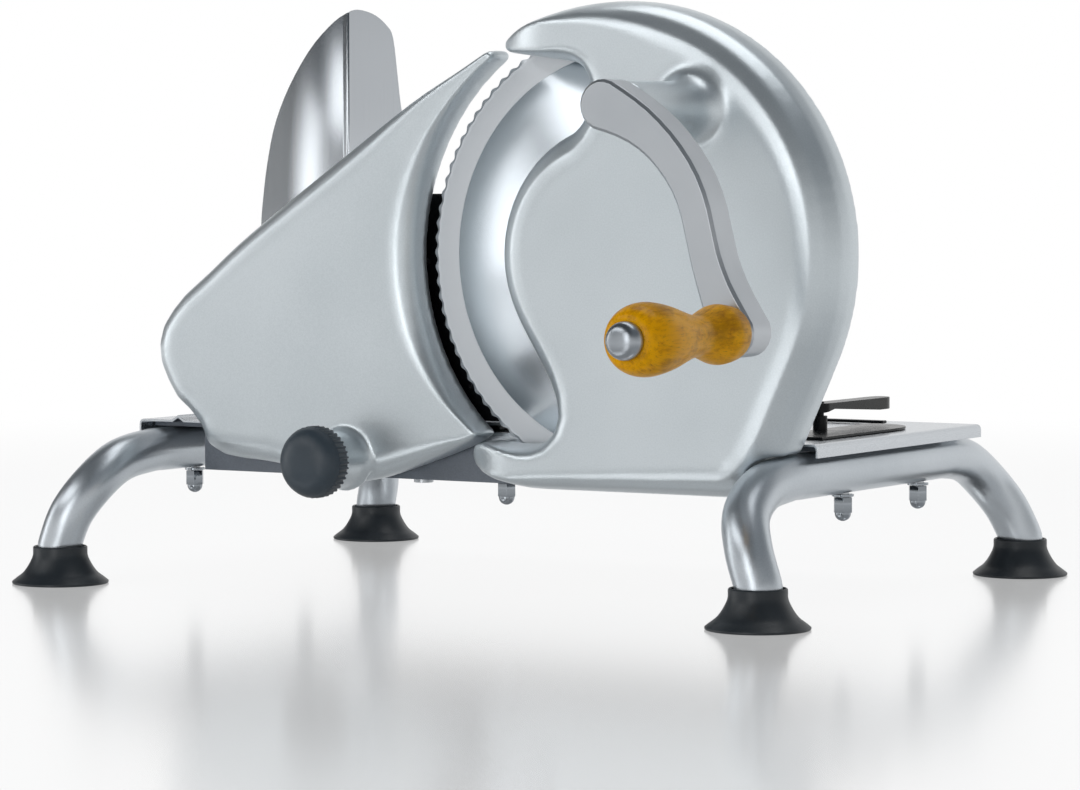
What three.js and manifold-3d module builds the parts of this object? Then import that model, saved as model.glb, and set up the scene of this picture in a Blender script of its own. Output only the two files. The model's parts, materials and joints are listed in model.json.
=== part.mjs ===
// Hand crank meat slicer: a cast housing with a geared 190 mm blade, a crank, an adjustable
// stop plate, a sliding carriage with a pusher, and a base on two bent tubes with suction feet.
// Millimetres. X runs along the base, Y from the crank side to the food side, Z up.
import * as THREE from 'three';
import { mergeVertices } from 'three/addons/utils/BufferGeometryUtils.js';
import Module from 'manifold-3d';

const wasm = await Module();
wasm.setup();

// Clearances
const seat = 0.3;
const running = 0.4;

// Feet and leg tubes
const footSpanX = 338;
const footSpanY = 245;
const footRimRadius = 20.6;
const footHeight = 16;
const footCollarRadius = 11.6;
const footSocketDepth = 7.5;
const footSocketRoom = 1.1;
const tubeRadius = 9.4;
const tubeWall = 1.6;
const tubeSpanX = 313.4;
const tubeAxisHeight = 54.8;

// Base sheet and base frame
const sheetLength = 334;
const sheetFront = -68.6;
const sheetBack = 85.5;
const sheetGauge = 1;
const lipDepth = 5.5;
const ribOffset = 21;
const ribHeight = 2.2;
const ribWidth = 7;
const framePlateThickness = 2.1;
const skirtDrop = 7.8;
const skirtLeft = -130;
const skirtRight = 143;
const skirtThickness = 4;
const skirtFlangeDepth = 25;
const skirtFlangeThickness = 2.5;

// Blade and its gear
const bladeRadius = 95;
const bladeThickness = 1.6;
const bladeX = 85;
const bladeDrop = 7.3;
const bladeBackY = -72;
const bevelWidth = 12.5;
const serrationCount = 96;
const serrationDepth = 1.1;
const bladeScrewRadius = 13;
const bladeScrewShank = 7;
const pinionTeeth = 22;
const bladeGearTeeth = 42;
const gearWidth = 8.5;
const meshAngle = THREE.MathUtils.degToRad(55.9);

// Housing
const housingDepth = 26;
const rimWidth = 6.8;
const filletDepth = 18;
const prongNose = 13;
const filletWidth = 16;
const frontWall = 4.5;
const bulgeRadius = 54;
const backPlateThickness = 1;
const bladePocketDepth = 4;

// Crank
const shaftRadius = 4.5;
const bushWall = 1.7;
const bossLength = 52.5;
const bossEndRadius = 9.4;
const armThickness = 16;
const armPivotRadius = 9.8;
const armEyeRadius = 9.2;
const crankReachX = 56.03;
const crankReachZ = 85.395;
const handleLength = 77;
const handleSpindleRadius = 3;
const handleGripRadius = 13.5;
const handleNeckRadius = 7.6;
const handleHeelRadius = 11.2;
const capRadius = 7;
const capHeight = 6.5;

// Stop plate and thickness control
const stopPlateThickness = 15;
const sliceGap = 3.5;
const knobX = -45.8;
const knobRise = 0.9;
const knobRadius = 15;
const knobBandWidth = 8;
const knobDomeHeight = 7;
const knobBossRadius = 11.8;
const knobBossLength = 17;
const knurlCount = 40;
const screwRadius = 3.5;
const collarRadius = 6;
const collarThickness = 2;
const guideRodRadius = 3;
const guideRodSpacing = 48;
const guideRodLength = 50;
const stopFilletWidth = 12;
const stopFilletDepth = 11;

// Carriage and pusher
const carriageGauge = 1.2;
const runnerThickness = 2.1;
const carriageFloorBack = 76;
const guardX = -61;
const guardFront = -62;
const guardLobeWidth = 45;
const guardTop = 245;
const carriageRightEnd = 24;
const pusherWidth = 82;
const pusherHeight = 94.6;
const pusherThickness = 6;
const pusherSlotHeight = 9;
const pusherSlotZ = 122;
const pusherTravel = 48;
const pusherGripRadius = 10;

// Carriage stop
const stopPostX = 134.6;
const stopPostY = -3;
const stopPostRadius = 3;
const padThickness = 1;
const stopLeverLength = 60;
const stopLeverHeight = 12.2;

// Fasteners
const boltRadius = 2.5;
const washerRadius = 4.5;
const nutFlats = 7.2;
const nutHeight = 9.8;

// Values that follow from the sizes above
const bladeZ = tubeAxisHeight - bladeDrop + bladeRadius;
const knobZ = tubeAxisHeight + knobRise;
const skirtBottom = tubeAxisHeight - skirtDrop;
const bladeFrontY = bladeBackY - bladeThickness;
const housingBackY = bladeBackY + 1;
const housingFrontY = housingBackY - housingDepth;
const rimRadius = bladeRadius + rimWidth;
const pocketRadius = bladeRadius + 2.3;
const pocketFloorY = housingBackY - bladePocketDepth;
const backPlateFrontY = pocketFloorY - seat - backPlateThickness;
const cavityFloorY = housingFrontY + frontWall;
// The gears grow with the blade: a module of 2.2 goes with a radius of 95
const gearModule = (2.2 * bladeRadius) / 95;
const centreDistance = (gearModule * (pinionTeeth + bladeGearTeeth)) / 2;
const crankX = bladeX + centreDistance * Math.cos(meshAngle);
const crankZ = bladeZ + centreDistance * Math.sin(meshAngle);
const handleX = crankX + crankReachX;
const handleZ = crankZ - crankReachZ;
const gearBackY = backPlateFrontY - 2.7;
const gearFrontY = gearBackY - gearWidth;
const bossEndY = housingFrontY - bossLength;
const armBackY = bossEndY - 0.7;
const armFrontY = armBackY - armThickness;
const stopFaceY = bladeBackY - seat;
const stopFrontY = stopFaceY - stopPlateThickness;
const knobBackY = stopFrontY - knobBossLength - 0.5;
const tubeTop = tubeAxisHeight + tubeRadius;
const framePlateBottom = tubeTop + seat;
const framePlateTop = framePlateBottom + framePlateThickness;
const sheetTop = framePlateTop + seat + sheetGauge;
const skirtFront = housingBackY + seat;
const skirtTop = sheetTop - lipDepth - 0.4;
const carriageBottom = sheetTop + seat + runnerThickness + seat;
const carriageTop = carriageBottom + carriageGauge;
// Outlines were drawn round a blade of radius 95 at (85, 142.5): their points go with the blade
function drawn(x, z) {
  const growth = bladeRadius / 95;
  return [bladeX + growth * (x - 85), bladeZ + growth * (z - 142.5)];
}
// Points at the far end of the stop plate go with the left tube, drawn at (-156.7, 54.8)
function overTube(x, z) {
  return [(x * tubeSpanX) / 313.4, tubeAxisHeight + (z - 54.8)];
}
// A point at a distance and a direction, in radians, from the blade's axis
function fromBlade(distance, turn) {
  return [bladeX + distance * Math.cos(turn), bladeZ + distance * Math.sin(turn)];
}

const paints = {
  castPaint: [0xb9bec2, 0.42, 0.55],
  steel: [0xc9cdd1, 0.25, 0.95],
  polished: [0xd6dade, 0.12, 1.0],
  satinAluminium: [0xc4c9ce, 0.35, 0.85],
  bronze: [0xa97a45, 0.4, 0.9],
  brass: [0xc2a14d, 0.35, 0.9],
  rubber: [0x23282d, 0.7, 0.0],
  blackPlastic: [0x16181b, 0.5, 0.0],
  greyPlastic: [0x3c4247, 0.45, 0.1],
  wood: [0xc47a14, 0.35, 0.0],
};

const slicer = new THREE.Group();

function paint(name) {
  const [color, roughness, metalness] = paints[name];
  return new THREE.MeshStandardMaterial({ color, roughness, metalness });
}

function add(name, geometry, paintName, position = [0, 0, 0], parent = slicer) {
  const mesh = new THREE.Mesh(geometry, paint(paintName));
  mesh.name = name;
  mesh.position.set(...position);
  parent.add(mesh);
  return mesh;
}

// Welds a geometry into one closed body whose faces point out
function weld(source) {
  const bare = source.index ? source.toNonIndexed() : source.clone();
  for (const key of Object.keys(bare.attributes)) {
    if (key !== 'position') bare.deleteAttribute(key);
  }
  const merged = mergeVertices(bare, 1e-3);
  const point = merged.attributes.position;
  const kept = [];
  let volume = 0;
  const [a, b, c] = [new THREE.Vector3(), new THREE.Vector3(), new THREE.Vector3()];
  for (let i = 0; i < merged.index.count; i += 3) {
    const corner = [0, 1, 2].map((k) => merged.index.getX(i + k));
    if (new Set(corner).size < 3) continue;
    [a, b, c].forEach((v, k) => v.fromBufferAttribute(point, corner[k]));
    volume += a.dot(b.cross(c));
    kept.push(...corner);
  }
  if (volume < 0) {
    for (let i = 0; i < kept.length; i += 3) [kept[i], kept[i + 1]] = [kept[i + 1], kept[i]];
  }
  merged.setIndex(kept);
  return merged;
}

function solid(geometry) {
  const closed = weld(geometry);
  const vertProperties = new Float32Array(closed.attributes.position.array);
  const triVerts = new Uint32Array(closed.index.array);
  return new wasm.Manifold(new wasm.Mesh({ numProp: 3, vertProperties, triVerts }));
}

function geometryOf(manifold) {
  const mesh = manifold.getMesh();
  const geometry = new THREE.BufferGeometry();
  geometry.setAttribute('position', new THREE.BufferAttribute(new Float32Array(mesh.vertProperties), 3));
  geometry.setIndex(Array.from(mesh.triVerts));
  return geometry;
}

function join(...geometries) {
  return geometryOf(geometries.map(solid).reduce((sum, next) => sum.add(next)));
}

function cut(base, ...tools) {
  return geometryOf(tools.map(solid).reduce((left, tool) => left.subtract(tool), solid(base)));
}

function common(base, tool) {
  return geometryOf(solid(base).intersect(solid(tool)));
}

// A shape in the XZ plane pushed from yBack towards the crank side
function slab(shape, yBack, yFront, bevel = 0, curveSegments = 12) {
  const geometry = new THREE.ExtrudeGeometry(shape, {
    depth: yBack - yFront - 2 * bevel,
    bevelEnabled: bevel > 0,
    bevelThickness: bevel,
    bevelSize: bevel,
    bevelOffset: -bevel,
    bevelSegments: 1,
    curveSegments,
  });
  geometry.rotateX(Math.PI / 2);
  return geometry.translate(0, yBack - bevel, 0);
}

// A round bar along Y at (x, z)
function bar(radius, yBack, yFront, x = 0, z = 0, sides = 24) {
  const geometry = new THREE.CylinderGeometry(radius, radius, yBack - yFront, sides);
  return geometry.translate(x, (yBack + yFront) / 2, z);
}

// A round bar along Z at (x, y)
function post(radius, zLow, zHigh, x = 0, y = 0, sides = 16) {
  const geometry = new THREE.CylinderGeometry(radius, radius, zHigh - zLow, sides);
  return geometry.rotateX(Math.PI / 2).translate(x, y, (zLow + zHigh) / 2);
}

function block(x0, x1, y0, y1, z0, z1) {
  const geometry = new THREE.BoxGeometry(x1 - x0, y1 - y0, z1 - z0);
  return geometry.translate((x0 + x1) / 2, (y0 + y1) / 2, (z0 + z1) / 2);
}

// A turned piece along Y from [radius, y] pairs
function turned(profile, sides = 24) {
  return new THREE.LatheGeometry(profile.map(([r, y]) => new THREE.Vector2(r, y)), sides);
}

function sleeve(outer, inner, yBack, yFront, sides = 24) {
  const ring = [[inner, yFront], [outer, yFront], [outer, yBack], [inner, yBack], [inner, yFront]];
  return turned(ring, sides);
}

// Samples an outline with steps that suit each of its curves
function sample(shape, step) {
  const points = shape.curves.flatMap((curve) => {
    const straight = curve instanceof THREE.LineCurve;
    const count = Math.max(straight ? 1 : 4, Math.ceil(curve.getLength() / (straight ? 4 * step : step)));
    return curve.getSpacedPoints(count).slice(0, -1);
  }).filter((p, i, all) => p.distanceTo(all[(i + all.length - 1) % all.length]) > 0.4);
  return THREE.ShapeUtils.isClockWise(points) ? points.reverse() : points;
}

// Inward normal at each point of a counter-clockwise outline
function inwardNormals(points) {
  return points.map((_, i) => {
    const before = points[(i + points.length - 1) % points.length];
    const after = points[(i + 1) % points.length];
    const along = after.clone().sub(before).normalize();
    return new THREE.Vector2(-along.y, along.x);
  });
}

// Largest disc that touches the outline at each point and stays inside it
function insideRadii(points, normals) {
  return points.map((p, i) => {
    let radius = Infinity;
    points.forEach((q, j) => {
      const away = q.clone().sub(p);
      const depth = away.dot(normals[i]);
      if (j !== i && depth > 1e-6) radius = Math.min(radius, away.lengthSq() / (2 * depth));
    });
    return radius;
  });
}

// Moves an outline inwards, by less where it is narrow
function shrink(points, distance, share = 0.8) {
  const normals = inwardNormals(points);
  const limits = insideRadii(points, normals).map((r) => Math.min(distance, share * r));
  const window = 2;
  const eased = limits.map((_, i) => {
    let lowest = Infinity;
    for (let k = -window; k <= window; k += 1) {
      lowest = Math.min(lowest, limits[(i + k + limits.length) % limits.length]);
    }
    return lowest;
  });
  const smooth = eased.map((_, i) => {
    let total = 0;
    for (let k = -window; k <= window; k += 1) total += eased[(i + k + eased.length) % eased.length];
    return total / (2 * window + 1);
  });
  return points.map((p, i) => p.clone().addScaledVector(normals[i], Math.min(smooth[i], limits[i])));
}

// A slab whose front edge is rounded: width and depth of the rounding are set apart
function pillow(points, yBack, yFront, width, depth, steps = 4) {
  const inner = shrink(points, width);
  const layers = [{ y: yBack, share: 0 }];
  for (let k = 0; k <= steps; k += 1) {
    const turn = (k / steps) * (Math.PI / 2);
    layers.push({ y: yFront + depth * (1 - Math.sin(turn)), share: 1 - Math.cos(turn) });
  }
  const count = points.length;
  const place = [];
  for (const layer of layers) {
    points.forEach((p, i) => {
      const q = p.clone().lerp(inner[i], layer.share);
      place.push(q.x, layer.y, q.y);
    });
  }
  const index = [];
  for (let k = 0; k + 1 < layers.length; k += 1) {
    for (let i = 0; i < count; i += 1) {
      const next = (i + 1) % count;
      const [a, b, c, d] = [k * count + i, k * count + next, (k + 1) * count + next, (k + 1) * count + i];
      index.push(a, b, c, a, c, d);
    }
  }
  const last = (layers.length - 1) * count;
  for (const [a, b, c] of THREE.ShapeUtils.triangulateShape(points, [])) index.push(a, c, b);
  for (const [a, b, c] of THREE.ShapeUtils.triangulateShape(inner, [])) {
    index.push(last + a, last + b, last + c);
  }
  const geometry = new THREE.BufferGeometry();
  geometry.setAttribute('position', new THREE.Float32BufferAttribute(place, 3));
  geometry.setIndex(index);
  return geometry;
}

// Suction feet, one under each tube end
const footSocketRadius = tubeRadius + footSocketRoom;
const footProfile = [
  [0, 5.5], [8, 4.6], [14, 2.2], [17.2, 0], [footRimRadius, 0], [footRimRadius, 1.1],
  [17.2, 3.6], [14.4, 7], [footCollarRadius, 11.4], [footCollarRadius, footHeight],
  [footSocketRadius, footHeight], [footSocketRadius, footHeight - footSocketDepth],
  [0, footHeight - footSocketDepth],
];
for (const [side, sideName] of [[-1, 'left'], [1, 'right']]) {
  for (const [end, endName] of [[-1, 'front'], [1, 'rear']]) {
    const foot = weld(turned(footProfile, 18).rotateX(Math.PI / 2));
    add(`foot_${endName}_${sideName}`, foot, 'rubber', [side * footSpanX / 2, end * footSpanY / 2, 0]);
  }
}

// Leg tubes: a level run under the base, with legs that curve down and splay out to the feet
const socketFloor = footHeight - footSocketDepth + seat;
const tubeX = tubeSpanX / 2;
const frontBend = [1.6, 9.6, 25, 46];
const rearBend = [4.5, 14.5, 31, 52];
function legRoute(side, extra = 0) {
  const spread = footSpanX / 2 - tubeX;
  const footY = footSpanY / 2;
  const leg = ([low, middle, high, top]) => [
    [tubeX + spread, -footY, socketFloor - extra],
    [tubeX + spread, -footY, footHeight - 2],
    [tubeX + spread, -footY, footHeight + 1],
    [tubeX + 0.6 * spread, -footY + low, 0.55 * tubeAxisHeight],
    [tubeX + 0.16 * spread, -footY + middle, 0.77 * tubeAxisHeight],
    [tubeX, -footY + high, 0.935 * tubeAxisHeight],
    [tubeX, -footY + top, tubeAxisHeight - 0.3],
    [tubeX, -footY + top + 20, tubeAxisHeight],
  ];
  const whole = [...leg(frontBend), ...leg(rearBend).map(([x, y, z]) => [x, -y, z]).reverse()];
  const points = whole.map(([x, y, z]) => new THREE.Vector3(side * x, y, z));
  return new THREE.CatmullRomCurve3(points, false, 'centripetal');
}

function tubeAlong(route, radius, sides, steps = 24) {
  const section = new THREE.Shape();
  for (let i = 0; i < sides; i += 1) {
    const turn = (2 * Math.PI * i) / sides;
    section[i ? 'lineTo' : 'moveTo'](radius * Math.cos(turn), radius * Math.sin(turn));
  }
  return new THREE.ExtrudeGeometry(section, { steps, extrudePath: route, bevelEnabled: false });
}

const tubeBolts = [
  ['left_front', -tubeX, -41.7], ['left_rear', -tubeX, 44.4],
  ['right_front', tubeX, -25.8], ['right_rear', tubeX, 44.4],
];
const centreBolt = ['centre', 15.8, -57.5];
const frameBolts = [...tubeBolts, centreBolt];
for (const [side, sideName] of [[-1, 'left'], [1, 'right']]) {
  const bolts = tubeBolts.filter(([, x]) => x * side > 0);
  const holes = bolts.map(([, x, y]) => post(boltRadius + seat, 0, framePlateTop, x, y));
  const bore = tubeAlong(legRoute(side, 2), tubeRadius - tubeWall, 8);
  add(`${sideName}_leg_tube`, cut(tubeAlong(legRoute(side), tubeRadius, 12), bore, ...holes), 'castPaint');
}

// Base frame: a plate over both tubes with a front skirt that carries the housing
const guideRodX = [knobX - guideRodSpacing / 2, knobX + guideRodSpacing / 2];
const guideRodZ = knobZ + 0.8;
const housingBoltX = [drawn(26, 0)[0], 138];
const housingBoltZ = tubeAxisHeight + 0.2;
const flangeTop = skirtBottom + skirtFlangeThickness;
const skirtBack = skirtFront + skirtThickness;
const plateFront = sheetFront + sheetGauge + seat;
const webBottom = skirtTop - 2;
const webBack = plateFront + 4;
const frameBack = 60;
const rearSkirtBottom = skirtBottom + 5;
const frameSection = new THREE.Shape([
  [skirtFront, skirtBottom], [skirtFront + skirtFlangeDepth, skirtBottom],
  [skirtFront + skirtFlangeDepth, flangeTop], [skirtBack, flangeTop], [skirtBack, webBottom],
  [webBack, webBottom], [webBack, framePlateBottom], [frameBack - 3, framePlateBottom],
  [frameBack - 3, rearSkirtBottom], [frameBack, rearSkirtBottom], [frameBack, framePlateTop],
  [plateFront, framePlateTop], [plateFront, skirtTop], [skirtFront, skirtTop],
].map(([y, z]) => new THREE.Vector2(y, z)));
const frameSettings = { depth: skirtRight - skirtLeft, bevelEnabled: false };
const frameBody = new THREE.ExtrudeGeometry(frameSection, frameSettings);
frameBody.rotateX(Math.PI / 2).rotateZ(Math.PI / 2).translate(skirtLeft, 0, 0);
const framePlateEnd = sheetLength / 2 - sheetGauge - 0.6;
const wingFront = plateFront + 8;
const frameWings = block(
  -framePlateEnd, framePlateEnd, wingFront, frameBack, framePlateBottom, framePlateTop,
);
const boltHeadHeight = 1;
const boltHeadRadius = 2 * boltRadius;
const headSeat = framePlateTop - boltHeadHeight;
const frameHoles = [
  ...frameBolts.map(([, x, y]) => post(boltRadius + seat, 0, sheetTop, x, y)),
  ...tubeBolts.map(([, x, y]) => post(boltHeadRadius + seat, headSeat - seat, sheetTop, x, y)),
  ...guideRodX.map((x) => bar(guideRodRadius + running, 0, -90, x, guideRodZ)),
  bar(screwRadius + running, 0, -90, knobX, knobZ),
  ...housingBoltX.map((x) => bar(boltRadius + seat, -60, -90, x, housingBoltZ)),
];
add('base_frame', cut(join(frameBody, frameWings), ...frameHoles), 'castPaint');

// Frame bolts: flat heads let into the plate, washers under the tubes and acorn nuts below
function flatBolt(zHead, zTip, x, y) {
  const head = post(boltHeadRadius, zHead, zHead + boltHeadHeight, x, y);
  return join(head, post(boltRadius, zTip, zHead + 0.5, x, y, 12));
}
const nutCrown = 1.6;
const washerThickness = 1;
const nutHalf = nutFlats / 2;
const nutBody = nutHeight - nutHalf;
const nutProfile = [
  [0, -nutHeight], [0.5 * nutHalf, -nutHeight + 0.4], [0.84 * nutHalf, -nutHeight + 1.7],
  [0.95 * nutHalf, -nutBody], [nutHalf, -nutBody], [nutHalf, 0], [0, 0],
];
function capNut(x, y, z) {
  const hex = post(nutFlats / Math.sqrt(3), -nutBody, 0, 0, 0, 6);
  const dome = turned(nutProfile, 10).rotateX(Math.PI / 2);
  const hollow = post(boltRadius + seat, -nutHeight + nutCrown, 1, 0, 0, 8);
  return weld(cut(join(hex, dome), hollow)).translate(x, y, z);
}
for (const [place, x, y] of frameBolts) {
  const onTube = place !== 'centre';
  const under = onTube ? tubeAxisHeight - tubeRadius - seat : skirtBottom;
  const nutTop = onTube ? under - washerThickness - seat : under - seat;
  const zHead = onTube ? headSeat : flangeTop + seat;
  add(`frame_bolt_${place}`, flatBolt(zHead, nutTop - nutHeight + nutCrown + seat, x, y), 'steel');
  add(`cap_nut_${place}`, capNut(x, y, nutTop), 'polished');
  if (!onTube) continue;
  const washer = post(washerRadius, under - washerThickness, under, x, y, 12);
  add(`washer_${place}`, cut(washer, post(boltRadius + seat, 0, 60, x, y, 8)), 'polished');
}

// Base sheet: stainless tray with rolled end lips, a pressed rib and a folded front and back
const half = sheetLength / 2;
const ribX = half - ribOffset;
const lipRound = 2.5;
const sheetUnder = sheetTop - sheetGauge;
const sheetSection = new THREE.Shape();
sheetSection.moveTo(-half, sheetTop - lipDepth);
sheetSection.lineTo(-half, sheetTop - lipRound);
sheetSection.quadraticCurveTo(-half, sheetTop, -half + lipRound, sheetTop);
sheetSection.lineTo(-ribX - ribWidth / 2, sheetTop);
sheetSection.lineTo(-ribX, sheetTop + ribHeight);
sheetSection.lineTo(-ribX + ribWidth / 2, sheetTop);
sheetSection.lineTo(half - lipRound, sheetTop);
sheetSection.quadraticCurveTo(half, sheetTop, half, sheetTop - lipRound);
sheetSection.lineTo(half, sheetTop - lipDepth);
sheetSection.lineTo(half - sheetGauge, sheetTop - lipDepth);
sheetSection.lineTo(half - sheetGauge, sheetTop - lipRound);
sheetSection.quadraticCurveTo(half - sheetGauge, sheetUnder, half - lipRound, sheetUnder);
sheetSection.lineTo(-ribX + ribWidth / 2 - 0.6, sheetTop - sheetGauge);
sheetSection.lineTo(-ribX, sheetTop + ribHeight - 1.3 * sheetGauge);
sheetSection.lineTo(-ribX - ribWidth / 2 + 0.6, sheetTop - sheetGauge);
sheetSection.lineTo(-half + lipRound, sheetTop - sheetGauge);
sheetSection.quadraticCurveTo(-half + sheetGauge, sheetUnder, -half + sheetGauge, sheetTop - lipRound);
sheetSection.lineTo(-half + sheetGauge, sheetTop - lipDepth);
sheetSection.closePath();
const sheet = join(
  slab(sheetSection, sheetBack, sheetFront, 0, 4),
  block(skirtLeft, skirtRight, sheetFront, sheetFront + sheetGauge, sheetTop - lipDepth, sheetTop - 0.5),
  block(skirtLeft, skirtRight, sheetBack - sheetGauge, sheetBack, sheetTop - lipDepth, sheetTop - 0.5),
);
add('base_sheet', sheet, 'steel');

// Guide rail that the rear runner rides on
const railHeight = 1.3;
const railWidth = 4;
const railY = carriageFloorBack - 12;
const railStart = -ribX + ribWidth / 2 + 1.5;
add('guide_rail', block(railStart, stopPostX - 3, railY - railWidth / 2, railY + railWidth / 2,
  sheetTop + seat, sheetTop + seat + railHeight), 'blackPlastic');

// Housing: cast shell with two prongs round the blade, a gear bulge and the crank boss
const housingShape = new THREE.Shape();
const prongAngle = THREE.MathUtils.degToRad(120.5);
const taperAngle = THREE.MathUtils.degToRad(-25);
housingShape.moveTo(...drawn(35.2, 224));
housingShape.quadraticCurveTo(...drawn(30, 225.2), ...drawn(30.8, 228));
housingShape.quadraticCurveTo(...drawn(31.6, 229.8), ...fromBlade(rimRadius, prongAngle));
housingShape.absarc(bladeX, bladeZ, rimRadius, prongAngle, taperAngle, true);
housingShape.lineTo(...drawn(163, 68));
housingShape.quadraticCurveTo(...drawn(151.3, 46.3), ...drawn(138, 46.3));
housingShape.lineTo(...drawn(52, 46.3));
housingShape.bezierCurveTo(...drawn(38, 46.3), ...drawn(26, 49), ...drawn(18, 55.5));
housingShape.quadraticCurveTo(...drawn(13.2, 60.5), ...drawn(17.5, 64));
housingShape.bezierCurveTo(...drawn(24, 67.8), ...drawn(34, 63.6), ...drawn(44, 64.8));
housingShape.bezierCurveTo(...drawn(53, 65.8), ...drawn(57.8, 69), ...drawn(58, 76.5));
const [bulgeLow, bulgeHigh] = [203, 112].map(THREE.MathUtils.degToRad);
const [bulgeEntryX, bulgeEntryZ] = fromBlade(bulgeRadius, bulgeLow);
housingShape.bezierCurveTo(
  ...drawn(58.5, 88), bulgeEntryX + 6.5, bulgeEntryZ - 16, bulgeEntryX, bulgeEntryZ,
);
housingShape.absarc(bladeX, bladeZ, bulgeRadius, bulgeLow, bulgeHigh, true);
housingShape.quadraticCurveTo(...drawn(72, 198.5), ...drawn(72.8, 208));
housingShape.quadraticCurveTo(...drawn(73.5, 218.4), ...drawn(64, 220));
housingShape.bezierCurveTo(...drawn(56, 221.3), ...drawn(44, 222.8), ...drawn(35.2, 224));
const housingOutline = sample(housingShape, 7.5);
const bossProfile = [
  [0, -bossLength], [bossEndRadius - 0.8, -bossLength], [bossEndRadius, -bossLength + 0.8],
  [bossEndRadius + 0.7, -bossLength / 3], [bossEndRadius + 1.5, -8], [bossEndRadius + 2.8, -4],
  [bossEndRadius + 5, -1.4], [bossEndRadius + 8, 0], [bossEndRadius + 8, 3], [0, 3],
];
const crankBoss = turned(bossProfile, 24).translate(crankX, housingFrontY, crankZ);
const gearRoom = 0.9 * gearModule + 0.9;
const gearCavityRadius = (gearModule * bladeGearTeeth) / 2 + gearRoom;
const pinionCavityRadius = (gearModule * pinionTeeth) / 2 + gearRoom;
const gearRoomFront = gearFrontY - 0.7;
const lightening = new THREE.Shape();
const [pocketStart, pocketEnd] = [-68, 24].map(THREE.MathUtils.degToRad);
lightening.absarc(bladeX, bladeZ, rimRadius - 11, pocketStart, pocketEnd, false);
lightening.absarc(bladeX, bladeZ, gearCavityRadius + 4.5, pocketEnd, pocketStart, true);
lightening.closePath();
const axleRadius = 6;
const axleBossTop = cavityFloorY + 3;
const seatOutline = new THREE.Shape(shrink(housingOutline, 1.9));
const plateOutline = new THREE.Shape(shrink(housingOutline, 1.9 + seat));
const plateScrewPlaces = [[15, -98], [11, 88], [5, 33]].map(([inset, degrees]) => (
  fromBlade(bladeRadius - inset, THREE.MathUtils.degToRad(degrees))));
const plateScrewRadius = 1.5;
const plateScrewHead = 2.8;
const housingCuts = [
  bar(pocketRadius, housingBackY + 5, pocketFloorY, bladeX, bladeZ, 60),
  common(
    slab(seatOutline, pocketFloorY + 1, backPlateFrontY - seat),
    bar(pocketRadius - 0.6, 0, -120, bladeX, bladeZ, 60),
  ),
  bar(gearCavityRadius, pocketFloorY + 1, gearRoomFront, bladeX, bladeZ, 40),
  bar(gearCavityRadius - 7, gearRoomFront + 1, cavityFloorY, bladeX, bladeZ, 40),
  bar(pinionCavityRadius, pocketFloorY + 1, gearRoomFront, crankX, crankZ, 28),
  slab(lightening, pocketFloorY + 1, cavityFloorY, 0, 14),
  bar(shaftRadius + bushWall + 2 * seat, 0, bossEndY - 5, crankX, crankZ),
  ...plateScrewPlaces.map(([x, z]) => bar(plateScrewRadius + seat, 0, backPlateFrontY - 9, x, z, 12)),
  ...housingBoltX.map((x) => bar(boltRadius + seat, 0, housingBackY - 11, x, housingBoltZ, 12)),
];
// The prongs fall back towards their tips, as seen from above
function noseCut(tipX, rootX, lowZ, highZ) {
  const [[xTip, zLow], [xRoot, zHigh]] = [drawn(tipX, lowZ), drawn(rootX, highZ)];
  const profile = new THREE.Shape();
  const front = housingFrontY - 1;
  profile.moveTo(xRoot, front);
  profile.lineTo(xRoot, housingFrontY);
  profile.quadraticCurveTo(xRoot - 0.6 * (xRoot - xTip), housingFrontY, xTip, housingFrontY + prongNose);
  profile.lineTo(xTip - 8, housingFrontY + 1.6 * prongNose);
  profile.lineTo(xTip - 8, front);
  profile.closePath();
  const wedge = { depth: zHigh - zLow, bevelEnabled: false, curveSegments: 8 };
  return new THREE.ExtrudeGeometry(profile, wedge).translate(0, 0, zLow);
}
const noseCuts = [noseCut(30.8, 66, 212, 250), noseCut(15, 50, 40, 72)];
const housingBlank = pillow(housingOutline, housingBackY, housingFrontY, filletWidth, filletDepth);
// The lower right corner is cut clear of the leg tube
const tubeRoom = tubeAlong(legRoute(1, 2), tubeRadius + 3 * seat, 16);
const housingCast = join(cut(housingBlank, ...noseCuts, tubeRoom), crankBoss);
const axleBoss = bar(12, axleBossTop, cavityFloorY - 1, bladeX, bladeZ);
const axleHole = bar(axleRadius + seat, 0, housingFrontY + 1.2, bladeX, bladeZ);
add('housing', cut(join(cut(housingCast, ...housingCuts), axleBoss), axleHole), 'castPaint');

// Housing bolts from behind the skirt, and the plate that closes the gear space
function cheeseScrew(radius, head, headHeight, yHead, yTip, x, z) {
  return join(bar(head, yHead + headHeight, yHead, x, z, 16), bar(radius, yHead + 0.5, yTip, x, z, 12));
}
housingBoltX.forEach((x, i) => {
  const bolt = cheeseScrew(boltRadius, 4.3, 3.5, skirtBack + seat, housingBackY - 10.5, x, housingBoltZ);
  add(`housing_bolt_${i + 1}`, bolt, 'steel');
});
const hubRadius = 20;
const backPlate = cut(
  common(
    slab(plateOutline, pocketFloorY - seat, backPlateFrontY),
    bar(pocketRadius - 0.9, 0, -120, bladeX, bladeZ, 60),
  ),
  bar(hubRadius + 2, 0, -120, bladeX, bladeZ, 32),
  ...plateScrewPlaces.map(([x, z]) => bar(plateScrewRadius + seat, 0, -120, x, z, 12)),
);
add('housing_back_plate', backPlate, 'steel');
plateScrewPlaces.forEach(([x, z], i) => {
  const screw = cheeseScrew(plateScrewRadius, plateScrewHead, 0.9, pocketFloorY, backPlateFrontY - 7, x, z);
  add(`back_plate_screw_${i + 1}`, screw, 'steel');
});

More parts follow.
